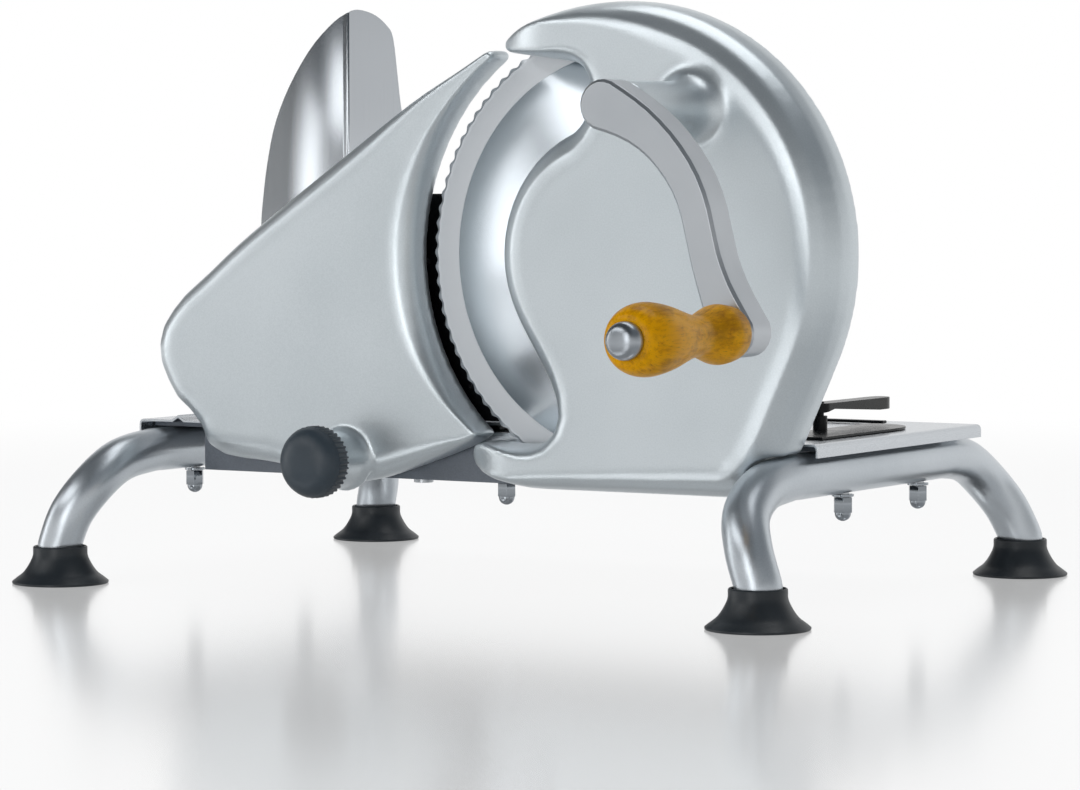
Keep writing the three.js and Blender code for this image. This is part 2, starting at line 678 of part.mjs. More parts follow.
// Spur gears with straight-sided teeth and a little backlash
const backlash = 0.5;
function gearShape(teeth, phase) {
  const pitch = (gearModule * teeth) / 2;
  const levels = [[pitch - 1.25 * gearModule, 0.7], [pitch + 0.9 * gearModule, 0.28]];
  const tooth = (2 * Math.PI) / teeth;
  const points = [];
  for (let i = 0; i < teeth; i += 1) {
    for (const side of [-1, 1]) {
      const flank = side < 0 ? levels : [...levels].reverse();
      for (const [radius, share] of flank) {
        const halfTooth = (share * tooth) / 2 - backlash / 2 / radius;
        const turn = phase + i * tooth + side * halfTooth;
        points.push(new THREE.Vector2(radius * Math.cos(turn), radius * Math.sin(turn)));
      }
    }
  }
  return new THREE.Shape(points);
}

// Blade axle, gear, bush, blade and the coin screw that frees the blade
const bushOuter = axleRadius + 2.4;
const axleEndY = bladeFrontY - 4.4;
add('blade_axle', bar(axleRadius, axleEndY, housingFrontY + 1.5), 'steel', [bladeX, 0, bladeZ]);
const bushFrontY = gearFrontY + 0.6;
const gearBush = sleeve(bushOuter, axleRadius + running, axleEndY - 0.4, bushFrontY);
add('blade_gear_bush', weld(gearBush), 'bronze', [bladeX, 0, bladeZ]);
const hubBackY = bladeFrontY - seat;
const gearBlank = slab(gearShape(bladeGearTeeth, meshAngle), gearBackY, gearFrontY);
const bladeGear = cut(
  join(gearBlank, bar(hubRadius, hubBackY, gearBackY - 1)),
  bar(bladeScrewShank + seat, 0, axleEndY),
  bar(bushOuter + seat, axleEndY + 0.01, -120),
);
add('blade_gear', bladeGear, 'steel', [bladeX, 0, bladeZ]);

function bladeGeometry() {
  const edge = [];
  const perWave = 2;
  const count = serrationCount * perWave;
  for (let i = 0; i < count; i += 1) {
    const turn = (2 * Math.PI * i) / count;
    const radius = bladeRadius - serrationDepth * (0.5 - 0.5 * Math.cos(serrationCount * turn));
    edge.push([radius * Math.cos(turn), radius * Math.sin(turn)]);
  }
  const ring = (radius) => Array.from({ length: serrationCount }, (_, i) => {
    const turn = (2 * Math.PI * i) / serrationCount;
    return [radius * Math.cos(turn), radius * Math.sin(turn)];
  });
  const bevel = ring(bladeRadius - bevelWidth);
  const bore = ring(bladeScrewShank + 2 * seat);
  const edgeFrontY = bladeBackY - 0.35;
  const place = [];
  const put = (list, y) => {
    const start = place.length / 3;
    list.forEach(([x, z]) => place.push(x, y, z));
    return start;
  };
  const edgeBack = put(edge, bladeBackY);
  const edgeFront = put(edge, edgeFrontY);
  const bevelBack = put(bevel, bladeBackY);
  const bevelFront = put(bevel, bladeFrontY);
  const boreBack = put(bore, bladeBackY);
  const boreFront = put(bore, bladeFrontY);
  const index = [];
  const band = (from, to, length) => {
    for (let i = 0; i < length; i += 1) {
      const next = (i + 1) % length;
      index.push(from + i, from + next, to + next, from + i, to + next, to + i);
    }
  };
  const fan = (outer, inner, flip) => {
    for (let i = 0; i < serrationCount; i += 1) {
      const next = (i + 1) % serrationCount;
      for (let k = 0; k < perWave; k += 1) {
        const a = outer + i * perWave + k;
        const b = outer + ((i * perWave + k + 1) % count);
        const hub = k < perWave / 2 ? inner + i : inner + next;
        index.push(...(flip ? [a, hub, b] : [a, b, hub]));
      }
      const middle = outer + i * perWave + perWave / 2;
      index.push(...(flip ? [middle, inner + i, inner + next] : [middle, inner + next, inner + i]));
    }
  };
  band(edgeFront, edgeBack, count);
  fan(edgeBack, bevelBack, false);
  fan(edgeFront, bevelFront, true);
  band(bevelBack, boreBack, serrationCount);
  band(boreFront, bevelFront, serrationCount);
  band(boreBack, boreFront, serrationCount);
  const geometry = new THREE.BufferGeometry();
  geometry.setAttribute('position', new THREE.Float32BufferAttribute(place, 3));
  geometry.setIndex(index);
  return weld(geometry);
}
add('blade', bladeGeometry(), 'polished', [bladeX, 0, bladeZ]);
const screwHead = 2.2;
const bladeScrewProfile = [
  [0, 0], [bladeScrewRadius, 0], [bladeScrewRadius, 1.4], [bladeScrewRadius - 1, screwHead], [0, screwHead],
];
const bladeScrewHead = turned(bladeScrewProfile, 32).translate(0, bladeBackY + seat, 0);
const bladeScrew = cut(
  join(bladeScrewHead, bar(bladeScrewShank, bladeBackY + 1, axleEndY + 0.6)),
  block(-9, 9, bladeBackY + 1.4, bladeBackY + 4, -1.1, 1.1),
);
add('blade_screw', bladeScrew, 'polished', [bladeX, 0, bladeZ]);

// Crank: bushes in the boss, shaft, pinion, clip, arm and the spindle that the handle spins on
const bushLength = 13;
const bushRadius = shaftRadius + running + bushWall - 0.3;
const crankPlace = [crankX, 0, crankZ];
const frontBush = sleeve(bushRadius, shaftRadius + running, bossEndY + bushLength, bossEndY + seat);
const rearBush = sleeve(bushRadius, shaftRadius + running, gearRoomFront - seat, gearRoomFront - bushLength);
add('crank_bush_front', weld(frontBush), 'bronze', crankPlace);
add('crank_bush_rear', weld(rearBush), 'bronze', crankPlace);
const shaftBackY = gearBackY + 2.2;
const shaftFrontY = armFrontY + 3.6;
add('crank_shaft', bar(shaftRadius, shaftBackY, shaftFrontY), 'steel', crankPlace);
const pinionPhase = meshAngle + Math.PI + Math.PI / pinionTeeth;
const pinionBlank = slab(gearShape(pinionTeeth, pinionPhase), gearBackY, gearFrontY);
add('crank_pinion', cut(pinionBlank, bar(shaftRadius + seat, 0, -120)), 'steel', crankPlace);
const shaftClip = sleeve(shaftRadius + 3, shaftRadius + seat, gearBackY + 1.4, gearBackY + seat);
add('shaft_clip', weld(shaftClip), 'steel', crankPlace);

// Places along the arm from the shaft, in shares of the reach, with the half width there
const armSpine = [
  [0, 0, armPivotRadius], [0.145, 0.042, 8.7], [0.288, 0.095, 7.8], [0.424, 0.166, 7.1],
  [0.538, 0.248, 6.8], [0.634, 0.34, 6.6], [0.706, 0.447, 6.5], [0.752, 0.564, 6.5],
  [0.798, 0.684, 6.6], [0.87, 0.815, 7.2], [1, 1, armEyeRadius],
].map(([across, down, r]) => [crankX + across * crankReachX, crankZ - down * crankReachZ, r]);
function armShape() {
  const spine = new THREE.CatmullRomCurve3(armSpine.map(([x, z, r]) => new THREE.Vector3(x, z, r)));
  const count = 18;
  const stations = spine.getSpacedPoints(count);
  const sides = [[], []];
  stations.forEach((at, i) => {
    const before = stations[Math.max(i - 1, 0)];
    const after = stations[Math.min(i + 1, count)];
    const along = new THREE.Vector2(after.x - before.x, after.y - before.y).normalize();
    sides[0].push(new THREE.Vector2(at.x - along.y * at.z, at.y + along.x * at.z));
    sides[1].push(new THREE.Vector2(at.x + along.y * at.z, at.y - along.x * at.z));
  });
  const endArc = (centre, radius, from, sweep, steps) => Array.from({ length: steps - 1 }, (_, k) => {
    const turn = from + (sweep * (k + 1)) / steps;
    return new THREE.Vector2(centre.x + radius * Math.cos(turn), centre.y + radius * Math.sin(turn));
  });
  const first = stations[0];
  const last = stations[count];
  const angleOf = (p, c) => Math.atan2(p.y - c.y, p.x - c.x);
  return new THREE.Shape([
    ...sides[0],
    ...endArc(last, last.z, angleOf(sides[0][count], last), -Math.PI, 10),
    ...sides[1].reverse(),
    ...endArc(first, first.z, angleOf(sides[1][count], first), -Math.PI, 10),
  ]);
}
const arm = cut(
  slab(armShape(), armBackY, armFrontY, 1.2),
  bar(shaftRadius + seat, 0, shaftFrontY - seat, crankX, crankZ),
  bar(handleSpindleRadius + seat, armBackY - 3, armFrontY - 1, handleX, handleZ),
);
add('crank_arm', arm, 'satinAluminium');

// Handle: turned wood on a steel spindle with a domed end cap
const handleRootY = armFrontY - 0.5;
const handleEndY = handleRootY - handleLength;
const spindleEndY = handleEndY - 2;
const spindle = bar(handleSpindleRadius, armBackY - 3.4, spindleEndY, 0, 0, 16);
add('handle_spindle', spindle, 'steel', [handleX, 0, handleZ]);
const gripSpine = [
  [0, handleHeelRadius - 2.4], [0.03, handleHeelRadius - 1], [0.09, handleHeelRadius - 0.2],
  [0.15, handleHeelRadius], [0.23, handleHeelRadius - 1.4], [0.29, handleNeckRadius + 0.8],
  [0.35, handleNeckRadius], [0.45, handleNeckRadius + 0.9], [0.55, handleGripRadius - 3.4],
  [0.65, handleGripRadius - 1.7], [0.75, handleGripRadius - 0.5], [0.84, handleGripRadius],
  [0.92, handleGripRadius - 0.9], [0.98, handleGripRadius - 3.3], [1, capRadius - 0.4],
];
const gripCurve = new THREE.SplineCurve(
  gripSpine.map(([share, r]) => new THREE.Vector2(r, -share * handleLength)),
);
const gripPoints = gripCurve.getPoints(15).map((p) => [Math.max(p.x, capRadius - 0.6), p.y]);
const handleBore = handleSpindleRadius + running;
const grip = turned([[handleBore, 0], ...gripPoints, [handleBore, -handleLength], [handleBore, 0]], 22);
add('crank_handle', weld(grip), 'wood', [handleX, handleRootY, handleZ]);
const capBore = handleSpindleRadius + seat;
const capSpine = [[1, 0], [1, 0.36], [0.93, 0.62], [0.72, 0.86], [0.4, 0.97], [0, 1]];
const capProfile = [
  [capBore, 0], ...capSpine.map(([r, h]) => [r * capRadius, -h * capHeight]), [0, -2.4], [capBore, -2.4],
  [capBore, 0],
];
add('handle_cap', weld(turned(capProfile, 22)), 'polished', [handleX, handleEndY - seat, handleZ]);

// Stop plate: cast, its edge follows the blade, with the knob boss and blind holes for the rods
const stopEdgeRadius = bladeRadius + sliceGap;
const [stopTopAngle, stopLowAngle] = [126, 229].map(THREE.MathUtils.degToRad);
const [tipX, tipZ] = fromBlade(stopEdgeRadius, stopTopAngle);
const [lowX, lowZ] = fromBlade(stopEdgeRadius, stopLowAngle);
const stopShape = new THREE.Shape();
stopShape.moveTo(lowX, lowZ);
stopShape.absarc(bladeX, bladeZ, stopEdgeRadius, stopLowAngle, stopTopAngle, true);
stopShape.quadraticCurveTo(tipX + 0.3, tipZ + 4.2, tipX - 4.1, tipZ + 3.4);
const stopSpine = [
  [tipX - 18.1, tipZ - 4.2], [tipX - 52.1, tipZ - 22.6], overTube(-95, 153.2), overTube(-122, 132.6),
  overTube(-135, 122.6), overTube(-145, 110.5), overTube(-147.6, 100), overTube(-146, 92),
  overTube(-140.6, 82), overTube(-134.6, 74.6), overTube(-127.6, 70.8), overTube(-123.4, 63.4),
  overTube(-119.6, 56.8), overTube(-110, 53.6), overTube(-96, 52.6), overTube(-82, 51),
  overTube(-66, 46.6), overTube(-50, 45), overTube(-34, 47.2), overTube(-10, 54.8),
  [lowX - 12.4, lowZ - 6.8],
];
stopShape.splineThru(stopSpine.map(([x, z]) => new THREE.Vector2(x, z)));
stopShape.quadraticCurveTo(lowX - 4.9, lowZ - 4, lowX, lowZ);
const stopOutline = sample(stopShape, 9);
const knobBoss = turned([
  [0, -knobBossLength], [knobBossRadius - 1, -knobBossLength], [knobBossRadius, -knobBossLength + 1],
  [knobBossRadius + 0.5, -3], [knobBossRadius + 2, 0], [knobBossRadius + 2, 2], [0, 2],
], 22);
const rodHoleY = stopFaceY - 9;
const collarBackY = stopFaceY - 0.6;
const stopPlate = cut(
  join(
    pillow(stopOutline, stopFaceY, stopFrontY, stopFilletWidth, stopFilletDepth),
    knobBoss.translate(knobX, stopFrontY, knobZ),
  ),
  ...guideRodX.map((x) => bar(guideRodRadius + seat, 0, rodHoleY, x, guideRodZ)),
  bar(screwRadius + running, 0, -150, knobX, knobZ),
  bar(collarRadius + running, 0, collarBackY - collarThickness - seat, knobX, knobZ),
);
add('stop_plate', stopPlate, 'castPaint');
const rodFrontY = rodHoleY + seat;
guideRodX.forEach((x, i) => {
  const rod = bar(guideRodRadius, rodFrontY + guideRodLength, rodFrontY, x, guideRodZ, 16);
  add(`guide_rod_${i + 1}`, rod, 'steel');
});

// Guide block inside the frame with the brass nut that the thickness screw turns in
const blockFront = webBack + seat;
const blockBack = blockFront + 22;
const nutRadius = 5.2;
const nutFront = blockFront + 4;
const nutBack = nutFront + 12;
const [blockLow, blockHigh] = [flangeTop + seat, framePlateBottom - seat];
const guideBlock = cut(
  block(guideRodX[0] - 9, guideRodX[1] + 9, blockFront, blockBack, blockLow, blockHigh),
  ...guideRodX.map((x) => bar(guideRodRadius + running, 0, -90, x, guideRodZ)),
  bar(screwRadius + running, 0, -90, knobX, knobZ),
  bar(nutRadius + seat, nutBack + seat, nutFront - seat, knobX, knobZ),
  ...guideRodX.map((x) => post(1.8, flangeTop, flangeTop + 5, x - 4, -57)),
);
add('guide_block', guideBlock, 'greyPlastic');
const guideNut = sleeve(nutRadius, screwRadius + running, nutBack, nutFront);
add('guide_nut', weld(guideNut), 'brass', [knobX, 0, knobZ]);

// Thickness screw and knurled knob
const screwBackY = nutBack + 16;
const knobFrontY = knobBackY - knobBandWidth;
const thicknessScrew = join(
  bar(screwRadius, screwBackY, knobBackY - 5, 0, 0, 16),
  bar(collarRadius, collarBackY, collarBackY - collarThickness, 0, 0, 16),
);
add('thickness_screw', thicknessScrew, 'steel', [knobX, 0, knobZ]);
function knurledRing() {
  const points = [];
  for (let i = 0; i < knurlCount * 2; i += 1) {
    const turn = (Math.PI * i) / knurlCount;
    const radius = knobRadius - (i % 2 ? 0.9 : 0);
    points.push(new THREE.Vector2(radius * Math.cos(turn), radius * Math.sin(turn)));
  }
  return new THREE.Shape(points);
}
const domeRadius = knobRadius - 0.6;
const domeSpine = [[0, 1], [0.3, 0.96], [0.58, 0.82], [0.8, 0.58], [0.94, 0.28], [1, 0]];
const domeProfile = domeSpine.map(([r, h]) => [r * domeRadius, -h * knobDomeHeight]);
const dome = turned([...domeProfile, [domeRadius, 2], [0, 2]], 20);
const knob = cut(
  join(slab(knurledRing(), knobBackY, knobFrontY), dome.translate(0, knobFrontY, 0)),
  bar(screwRadius + seat, 0, knobBackY - 5 - seat),
);
add('thickness_knob', knob, 'blackPlastic', [knobX, 0, knobZ]);

// Guide block screws, up through the flange from below
const blockScrewX = guideRodX.map((x) => x - 4);
const frameScrewHoles = blockScrewX.map((x) => post(1.8, skirtBottom - 1, flangeTop + 1, x, -57, 12));
const frameMesh = slicer.getObjectByName('base_frame');
frameMesh.geometry = cut(frameMesh.geometry, ...frameScrewHoles);
blockScrewX.forEach((x, i) => {
  const head = post(4.2, skirtBottom - seat - 2, skirtBottom - seat, x, -57);
  const shank = post(1.5, skirtBottom - 1, flangeTop + 4.6, x, -57, 12);
  add(`guide_block_screw_${i + 1}`, join(head, shank), 'steel');
});

// Carriage: floor, pushing wall and thumb guard bent from one sheet
const guardLeft = guardX - guardLobeWidth;
const wallBack = 74;
const lobeShape = new THREE.Shape();
lobeShape.moveTo(guardX, carriageBottom);
lobeShape.lineTo(guardX, guardTop - 1.6);
lobeShape.splineThru([[-68.4, 239.2], [-79.8, 228.6], [-90.8, 212.8], [-98.4, 196.6], [-102.4, 180.4],
  [-104.6, 166], [guardLeft, 150], [guardLeft - 0.4, 110], [guardLeft, carriageBottom]]
  .map(([x, z]) => new THREE.Vector2(x, z)));
lobeShape.closePath();
const lobe = slab(lobeShape, guardFront + carriageGauge, guardFront, 0, 3);
const wallShape = new THREE.Shape();
wallShape.moveTo(guardFront, carriageBottom);
wallShape.lineTo(guardFront, guardTop - 1.6);
wallShape.splineThru([[-55.2, guardTop], [-43, guardTop - 1.6], [-33, guardTop - 6], [-28, guardTop - 11.4],
  [-24.4, 216.6], [-21.4, 202.6], [-13, 178], [4, 152], [30, 130], [56, 112], [70, 98], [wallBack, 84]]
  .map(([y, z]) => new THREE.Vector2(y, z)));
wallShape.lineTo(wallBack, carriageBottom);
wallShape.closePath();
const wallSettings = { depth: carriageGauge, bevelEnabled: false, curveSegments: 3 };
const wall = new THREE.ExtrudeGeometry(wallShape, wallSettings);
wall.rotateX(Math.PI / 2).rotateZ(Math.PI / 2).translate(guardX, 0, 0);
const floorFront = guardFront - 4.5;
const floor = block(
  guardLeft, carriageRightEnd, floorFront, carriageFloorBack, carriageBottom, carriageTop,
);
const slotFront = guardFront + 14;
const slotHalf = pusherSlotHeight / 2;
const slotBack = slotFront + pusherTravel + 2 * slotHalf + 2.8;
const [slotLow, slotHigh] = [pusherSlotZ - slotHalf, pusherSlotZ + slotHalf];
const wallSlot = block(guardX - 2, guardX + 4, slotFront, slotBack, slotLow, slotHigh);
add('carriage', cut(join(floor, lobe, wall), wallSlot), 'steel');
const runnerX = [-94, 14];
const runnerLow = sheetTop + seat;
const runnerHigh = runnerLow + runnerThickness;
const frontRunner = block(runnerX[0], runnerX[1], guardFront + 2, guardFront + 14, runnerLow, runnerHigh);
add('front_runner', frontRunner, 'blackPlastic');
const grooveHalf = railWidth / 2 + running;
const grooveTop = runnerLow + railHeight + running;
const rearRunner = cut(
  block(runnerX[0], runnerX[1], railY - 9, railY + 9, runnerLow, runnerHigh),
  block(runnerX[0] - 1, runnerX[1] + 1, railY - grooveHalf, railY + grooveHalf, runnerLow - 1, grooveTop),
);
add('rear_runner', rearRunner, 'blackPlastic');

// Pusher: a toothed plate that presses the food to the stop plate, with a grip behind the wall
const pusherLeft = guardX + carriageGauge + running;
const pusherRight = pusherLeft + pusherWidth;
const pusherFront = guardFront - 3.6;
const pusherBack = pusherFront + pusherThickness;
const pusherLow = carriageTop + running;
const stemRadius = slotHalf - running;
const stemY = slotFront + slotHalf + 1.4;
const teeth = [];
const toothPitch = 11;
for (let x = pusherLeft + 8; x < pusherRight - 6; x += toothPitch) {
  for (const z of [pusherLow + 14, pusherLow + 40, pusherLow + 66]) {
    const tooth = new THREE.ConeGeometry(1.8, 3, 6).rotateX(Math.PI).translate(x, pusherFront - 1.3, z);
    teeth.push(tooth);
  }
}
const pusher = join(
  block(pusherLeft, pusherRight, pusherFront, pusherBack, pusherLow, pusherLow + pusherHeight),
  block(pusherLeft, pusherLeft + 4, pusherBack - 1, stemY + 24, pusherSlotZ - 20, pusherSlotZ + 20),
  ...teeth,
);
function crossBar(radius, x0, x1) {
  const geometry = new THREE.CylinderGeometry(radius, radius, x1 - x0, 16).rotateZ(Math.PI / 2);
  return geometry.translate((x0 + x1) / 2, stemY, pusherSlotZ);
}
const stemEnd = pusherLeft + 3;
const bossed = join(pusher, crossBar(stemRadius, guardX - 0.1, pusherLeft + 1));
add('pusher', cut(bossed, crossBar(stemRadius - 1, guardX - 9, stemEnd + seat)), 'blackPlastic');
const gripLength = 13;
const gripRight = guardX - running;
const gripProfile = [[0, 0], [pusherGripRadius - 2, 0], [pusherGripRadius - 1, 2], [pusherGripRadius, 8],
  [pusherGripRadius, gripLength - 2], [pusherGripRadius - 2, gripLength], [0, gripLength]];
const gripKnob = turned(gripProfile, 24).rotateZ(Math.PI / 2).translate(gripRight, stemY, pusherSlotZ);
add('pusher_grip', join(gripKnob, crossBar(stemRadius - 1 - seat, gripRight - 0.5, stemEnd)), 'blackPlastic');

// Carriage stop: a flat foot with a post on the sheet, and a lever that swings on the post
const leverLow = sheetTop + seat + stopLeverHeight - 5;
const padShape = new THREE.Shape();
const padLeft = stopPostX - stopPostRadius;
const padRight = 157;
padShape.moveTo(padLeft, -45);
padShape.lineTo(padRight, -45);
padShape.lineTo(padRight, 22);
padShape.quadraticCurveTo(padRight, 47, padLeft + 6, 49);
padShape.quadraticCurveTo(padLeft, 49, padLeft, 43);
padShape.closePath();
const padSettings = { depth: padThickness, bevelEnabled: false, curveSegments: 8 };
const pad = new THREE.ExtrudeGeometry(padShape, padSettings);
add('stop_post', join(
  pad.translate(0, 0, sheetTop + seat),
  post(stopPostRadius, sheetTop + seat, leverLow - seat, stopPostX, stopPostY),
  post(1.6, leverLow - 2, leverLow + 5.6, stopPostX, stopPostY, 12),
), 'blackPlastic');
const leverShape = new THREE.Shape();
const leverRoot = 4.6;
leverShape.absarc(0, 0, leverRoot, Math.PI, 0, false);
leverShape.lineTo(5, stopLeverLength - 8);
leverShape.quadraticCurveTo(5, stopLeverLength, -1, stopLeverLength);
leverShape.quadraticCurveTo(-4, stopLeverLength, -4.2, stopLeverLength - 8);
leverShape.closePath();
const leverBlank = new THREE.ExtrudeGeometry(leverShape, { depth: 5, bevelEnabled: false, curveSegments: 8 });
const leverTaper = new THREE.Shape([
  [-9, -6], [-9, 0], [leverRoot, 2.4], [stopLeverLength - 14, 0], [stopLeverLength + 9, -1],
  [stopLeverLength + 9, -6],
].map(([y, z]) => new THREE.Vector2(y, z)));
const taperTool = new THREE.ExtrudeGeometry(leverTaper, { depth: 24, bevelEnabled: false })
  .rotateX(Math.PI / 2).rotateZ(Math.PI / 2).translate(-12, 0, 0);
const lever = cut(leverBlank, taperTool.translate(0, 0, 0.01), post(1.6 + running, -3, 9, 0, 0, 12));
add('stop_lever', lever, 'blackPlastic', [stopPostX, stopPostY, leverLow]);

// The origin is on the ground, under the middle of the whole machine
const bounds = new THREE.Box3().setFromObject(slicer);
const middle = bounds.getCenter(new THREE.Vector3());
slicer.position.set(-middle.x, -middle.y, -bounds.min.z);

export default slicer;
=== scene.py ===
"""Looks of a hand cranked meat slicer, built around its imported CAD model. Metres, +Z up.
X runs along the base, the crank side faces -Y, the food side faces +Y."""
import json
import math

import bpy
from mathutils import Matrix, Vector


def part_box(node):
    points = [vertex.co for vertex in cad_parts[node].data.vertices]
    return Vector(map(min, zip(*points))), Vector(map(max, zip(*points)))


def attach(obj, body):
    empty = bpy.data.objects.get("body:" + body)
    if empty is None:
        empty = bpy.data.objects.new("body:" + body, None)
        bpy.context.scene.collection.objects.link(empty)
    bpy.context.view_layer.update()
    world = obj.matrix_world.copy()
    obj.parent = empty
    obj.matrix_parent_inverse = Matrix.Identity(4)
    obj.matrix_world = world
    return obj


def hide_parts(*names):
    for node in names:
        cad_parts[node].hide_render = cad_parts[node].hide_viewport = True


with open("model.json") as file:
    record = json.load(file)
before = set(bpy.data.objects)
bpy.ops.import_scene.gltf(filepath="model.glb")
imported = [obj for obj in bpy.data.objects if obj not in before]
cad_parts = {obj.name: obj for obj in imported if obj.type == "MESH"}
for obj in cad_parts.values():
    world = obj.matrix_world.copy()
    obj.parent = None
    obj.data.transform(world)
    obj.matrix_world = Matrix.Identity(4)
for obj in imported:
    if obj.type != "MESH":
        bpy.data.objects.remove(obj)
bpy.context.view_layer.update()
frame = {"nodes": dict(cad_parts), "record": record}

# Camera and studio
# A pale floor under a white room. The front right corner of the machine faces the camera, which
# stands about 1.6 m away at table height.
camera_place = Vector((0.86302, -1.38451, 0.17122))
camera_pitch = math.radians(3.12)
camera_swing = math.radians(31.11)
bpy.ops.object.camera_add(
    location=camera_place, rotation=(math.radians(90) - camera_pitch, 0, camera_swing)
)
camera = bpy.context.object
camera.data.sensor_width = 36
camera.data.lens = 129.57
camera.data.clip_end = 40
bpy.context.scene.camera = camera
bpy.context.scene.view_settings.view_transform = "Standard"


def add_lamp(name, place, target, size, power):
    bpy.ops.object.light_add(type="AREA", location=place)
    lamp = bpy.context.object
    lamp.name = name
    lamp.rotation_euler = (Vector(target) - Vector(place)).to_track_quat("-Z", "Y").to_euler()
    lamp.data.shape = "RECTANGLE"
    lamp.data.size, lamp.data.size_y = size
    lamp.data.energy = power


add_lamp("front_top_softbox", (-0.75, -1.15, 1.05), (0, 0, 0.15), (1.4, 0.5), 5)
add_lamp("left_strip_softbox", (-1.65, -0.55, 0.35), (-0.05, 0, 0.15), (0.45, 1.1), 2.5)
add_lamp("front_softbox", (0.2, -1.9, 0.45), (0, 0, 0.15), (0.6, 1.1), 5)
add_lamp("overhead_softbox", (0.1, 0.35, 1.3), (0, 0, 0.1), (1.2, 0.5), 4)


class Value:
    """A value on its way through a material's nodes."""

    def __init__(self, finish, socket):
        self.finish = finish
        self.socket = socket

    def maths(self, operation, *numbers):
        return self.finish.node("ShaderNodeMath", {"operation": operation}, dict(enumerate(numbers)))

    def __add__(self, other):
        return self.maths("ADD", self, other)

    def __radd__(self, other):
        return self.maths("ADD", other, self)

    def __sub__(self, other):
        return self.maths("SUBTRACT", self, other)

    def __rsub__(self, other):
        return self.maths("SUBTRACT", other, self)

    def __mul__(self, other):
        return self.maths("MULTIPLY", self, other)

    def __rmul__(self, other):
        return self.maths("MULTIPLY", other, self)

    def __truediv__(self, other):
        return self.maths("DIVIDE", self, other)

    def __pow__(self, other):
        return self.maths("POWER", self, other)

    def between(self, low, high):
        """0 below low, 1 above high, and a smooth step from one to the other."""
        settings = {"interpolation_type": "SMOOTHSTEP"}
        ends = {"Value": self, "From Min": low, "From Max": high}
        return self.finish.node("ShaderNodeMapRange", settings, ends)


class Finish:
    """A material whose nodes are written as Python expressions."""

    def __init__(self, name, tree=None, **steady):
        if tree is None:
            self.material = bpy.data.materials.new(name)
            self.material.use_nodes = True
            tree = self.material.node_tree
        self.tree = tree
        self.shader = tree.nodes.get("Principled BSDF")
        for socket, value in steady.items():
            self.shader.inputs[socket.replace("_", " ")].default_value = value

    def node(self, kind, settings=None, inputs=None, output=0):
        new = self.tree.nodes.new(kind)
        for key, value in (settings or {}).items():
            if key == "stops":
                stops = new.color_ramp.elements
                stops[0].color, stops[1].color = value[0][1], value[-1][1]
                for place, tone in value[1:-1]:
                    stops.new(place).color = tone
            else:
                setattr(new, key, value)
        for key, value in (inputs or {}).items():
            self.put(new.inputs[key], value)
        return Value(self, new.outputs[output])

    def put(self, socket, value):
        if isinstance(value, Value):
            self.tree.links.new(value.socket, socket)
        else:
            socket.default_value = value

    def feed(self, **sockets):
        for socket, value in sockets.items():
            self.put(self.shader.inputs[socket.replace("_", " ")], value)

    def place(self, scale=(1, 1, 1), shift=(0, 0, 0)):
        """Object coordinates, moved by shift and then stretched by scale."""
        spot = self.node("ShaderNodeTexCoord", output=3)
        moved = self.node("ShaderNodeVectorMath", {"operation": "ADD"}, {0: spot, 1: shift})
        return self.node("ShaderNodeVectorMath", {"operation": "MULTIPLY"}, {0: moved, 1: scale})

    def split(self, vector):
        return [self.node("ShaderNodeSeparateXYZ", inputs={0: vector}, output=i) for i in range(3)]

    def noise(self, where, scale, detail=2.0, roughness=0.5):
        inputs = {"Vector": where, "Scale": scale, "Detail": detail, "Roughness": roughness}
        return self.node("ShaderNodeTexNoise", inputs=inputs)

    def mix(self, share, low, high):
        """A colour between low and high."""
        return self.node("ShaderNodeMix", {"data_type": "RGBA"}, {0: share, 6: low, 7: high}, output=2)

    def bump(self, height, strength, distance):
        inputs = {"Height": height, "Strength": strength, "Distance": distance}
        return self.node("ShaderNodeBump", inputs=inputs)


def colour(red, green, blue):
    """A colour that is written as it looks on a screen, 0 to 255."""
    shares = [level / 255 for level in (red, green, blue)]
    dark_end = 10 / 255
    linear = [s / 12.92 if s <= dark_end else ((s + 0.055) / 1.055) ** 2.4 for s in shares]
    return (*linear, 1.0)


# The camera sees a white room. Metal sees bright and dim zones round the horizon, and the
# room's dim upper part above them
room = bpy.data.worlds.new("studio")
bpy.context.scene.world = room
room.use_nodes = True
sky = Finish("studio", tree=room.node_tree)
facing = sky.node("ShaderNodeTexCoord", output=0)
east, north, up = sky.split(facing)
# the room is turned with the photograph's camera, by the cosine and sine of its swing
swing_cos, swing_sin = 0.856, 0.517
backwards = north * swing_cos - east * swing_sin
rightwards = east * swing_cos + north * swing_sin
turn = rightwards.maths("ARCTAN2", rightwards, backwards) / (2 * math.pi) + 0.5
# grey levels round the horizon: camera side, front, left strip, dark left, white back, right
levels = [
    (0.0, 236), (0.05, 255), (0.1, 255), (0.14, 218), (0.22, 218), (0.25, 255), (0.3, 255),
    (0.34, 92), (0.41, 92), (0.45, 255), (0.7, 255), (0.75, 214), (0.85, 214), (0.92, 226),
    (1.0, 236),
]
stops = [(place, colour(level, level, level)) for place, level in levels]
horizon = sky.node("ShaderNodeValToRGB", {"stops": stops}, {0: turn})
# the white reaches higher behind the machine than over its front
front_fade, back_fade = (0.14, 0.46), (0.38, 0.78)
behind = backwards.between(0.2, 0.6)
ceiling = up.between(*front_fade) * (1 - behind) + up.between(*back_fade) * behind
dim_room = sky.mix(rightwards.between(0.0, 0.4), colour(70, 75, 80), colour(126, 131, 136))
room_light = sky.mix(ceiling, horizon, dim_room)
camera_ray = sky.node("ShaderNodeLightPath", output=0)
seen = sky.mix(camera_ray, room_light, (1, 1, 1, 1))
backdrop = room.node_tree.nodes["Background"]
sky.put(backdrop.inputs["Color"], seen)
backdrop.inputs["Strength"].default_value = 1.0

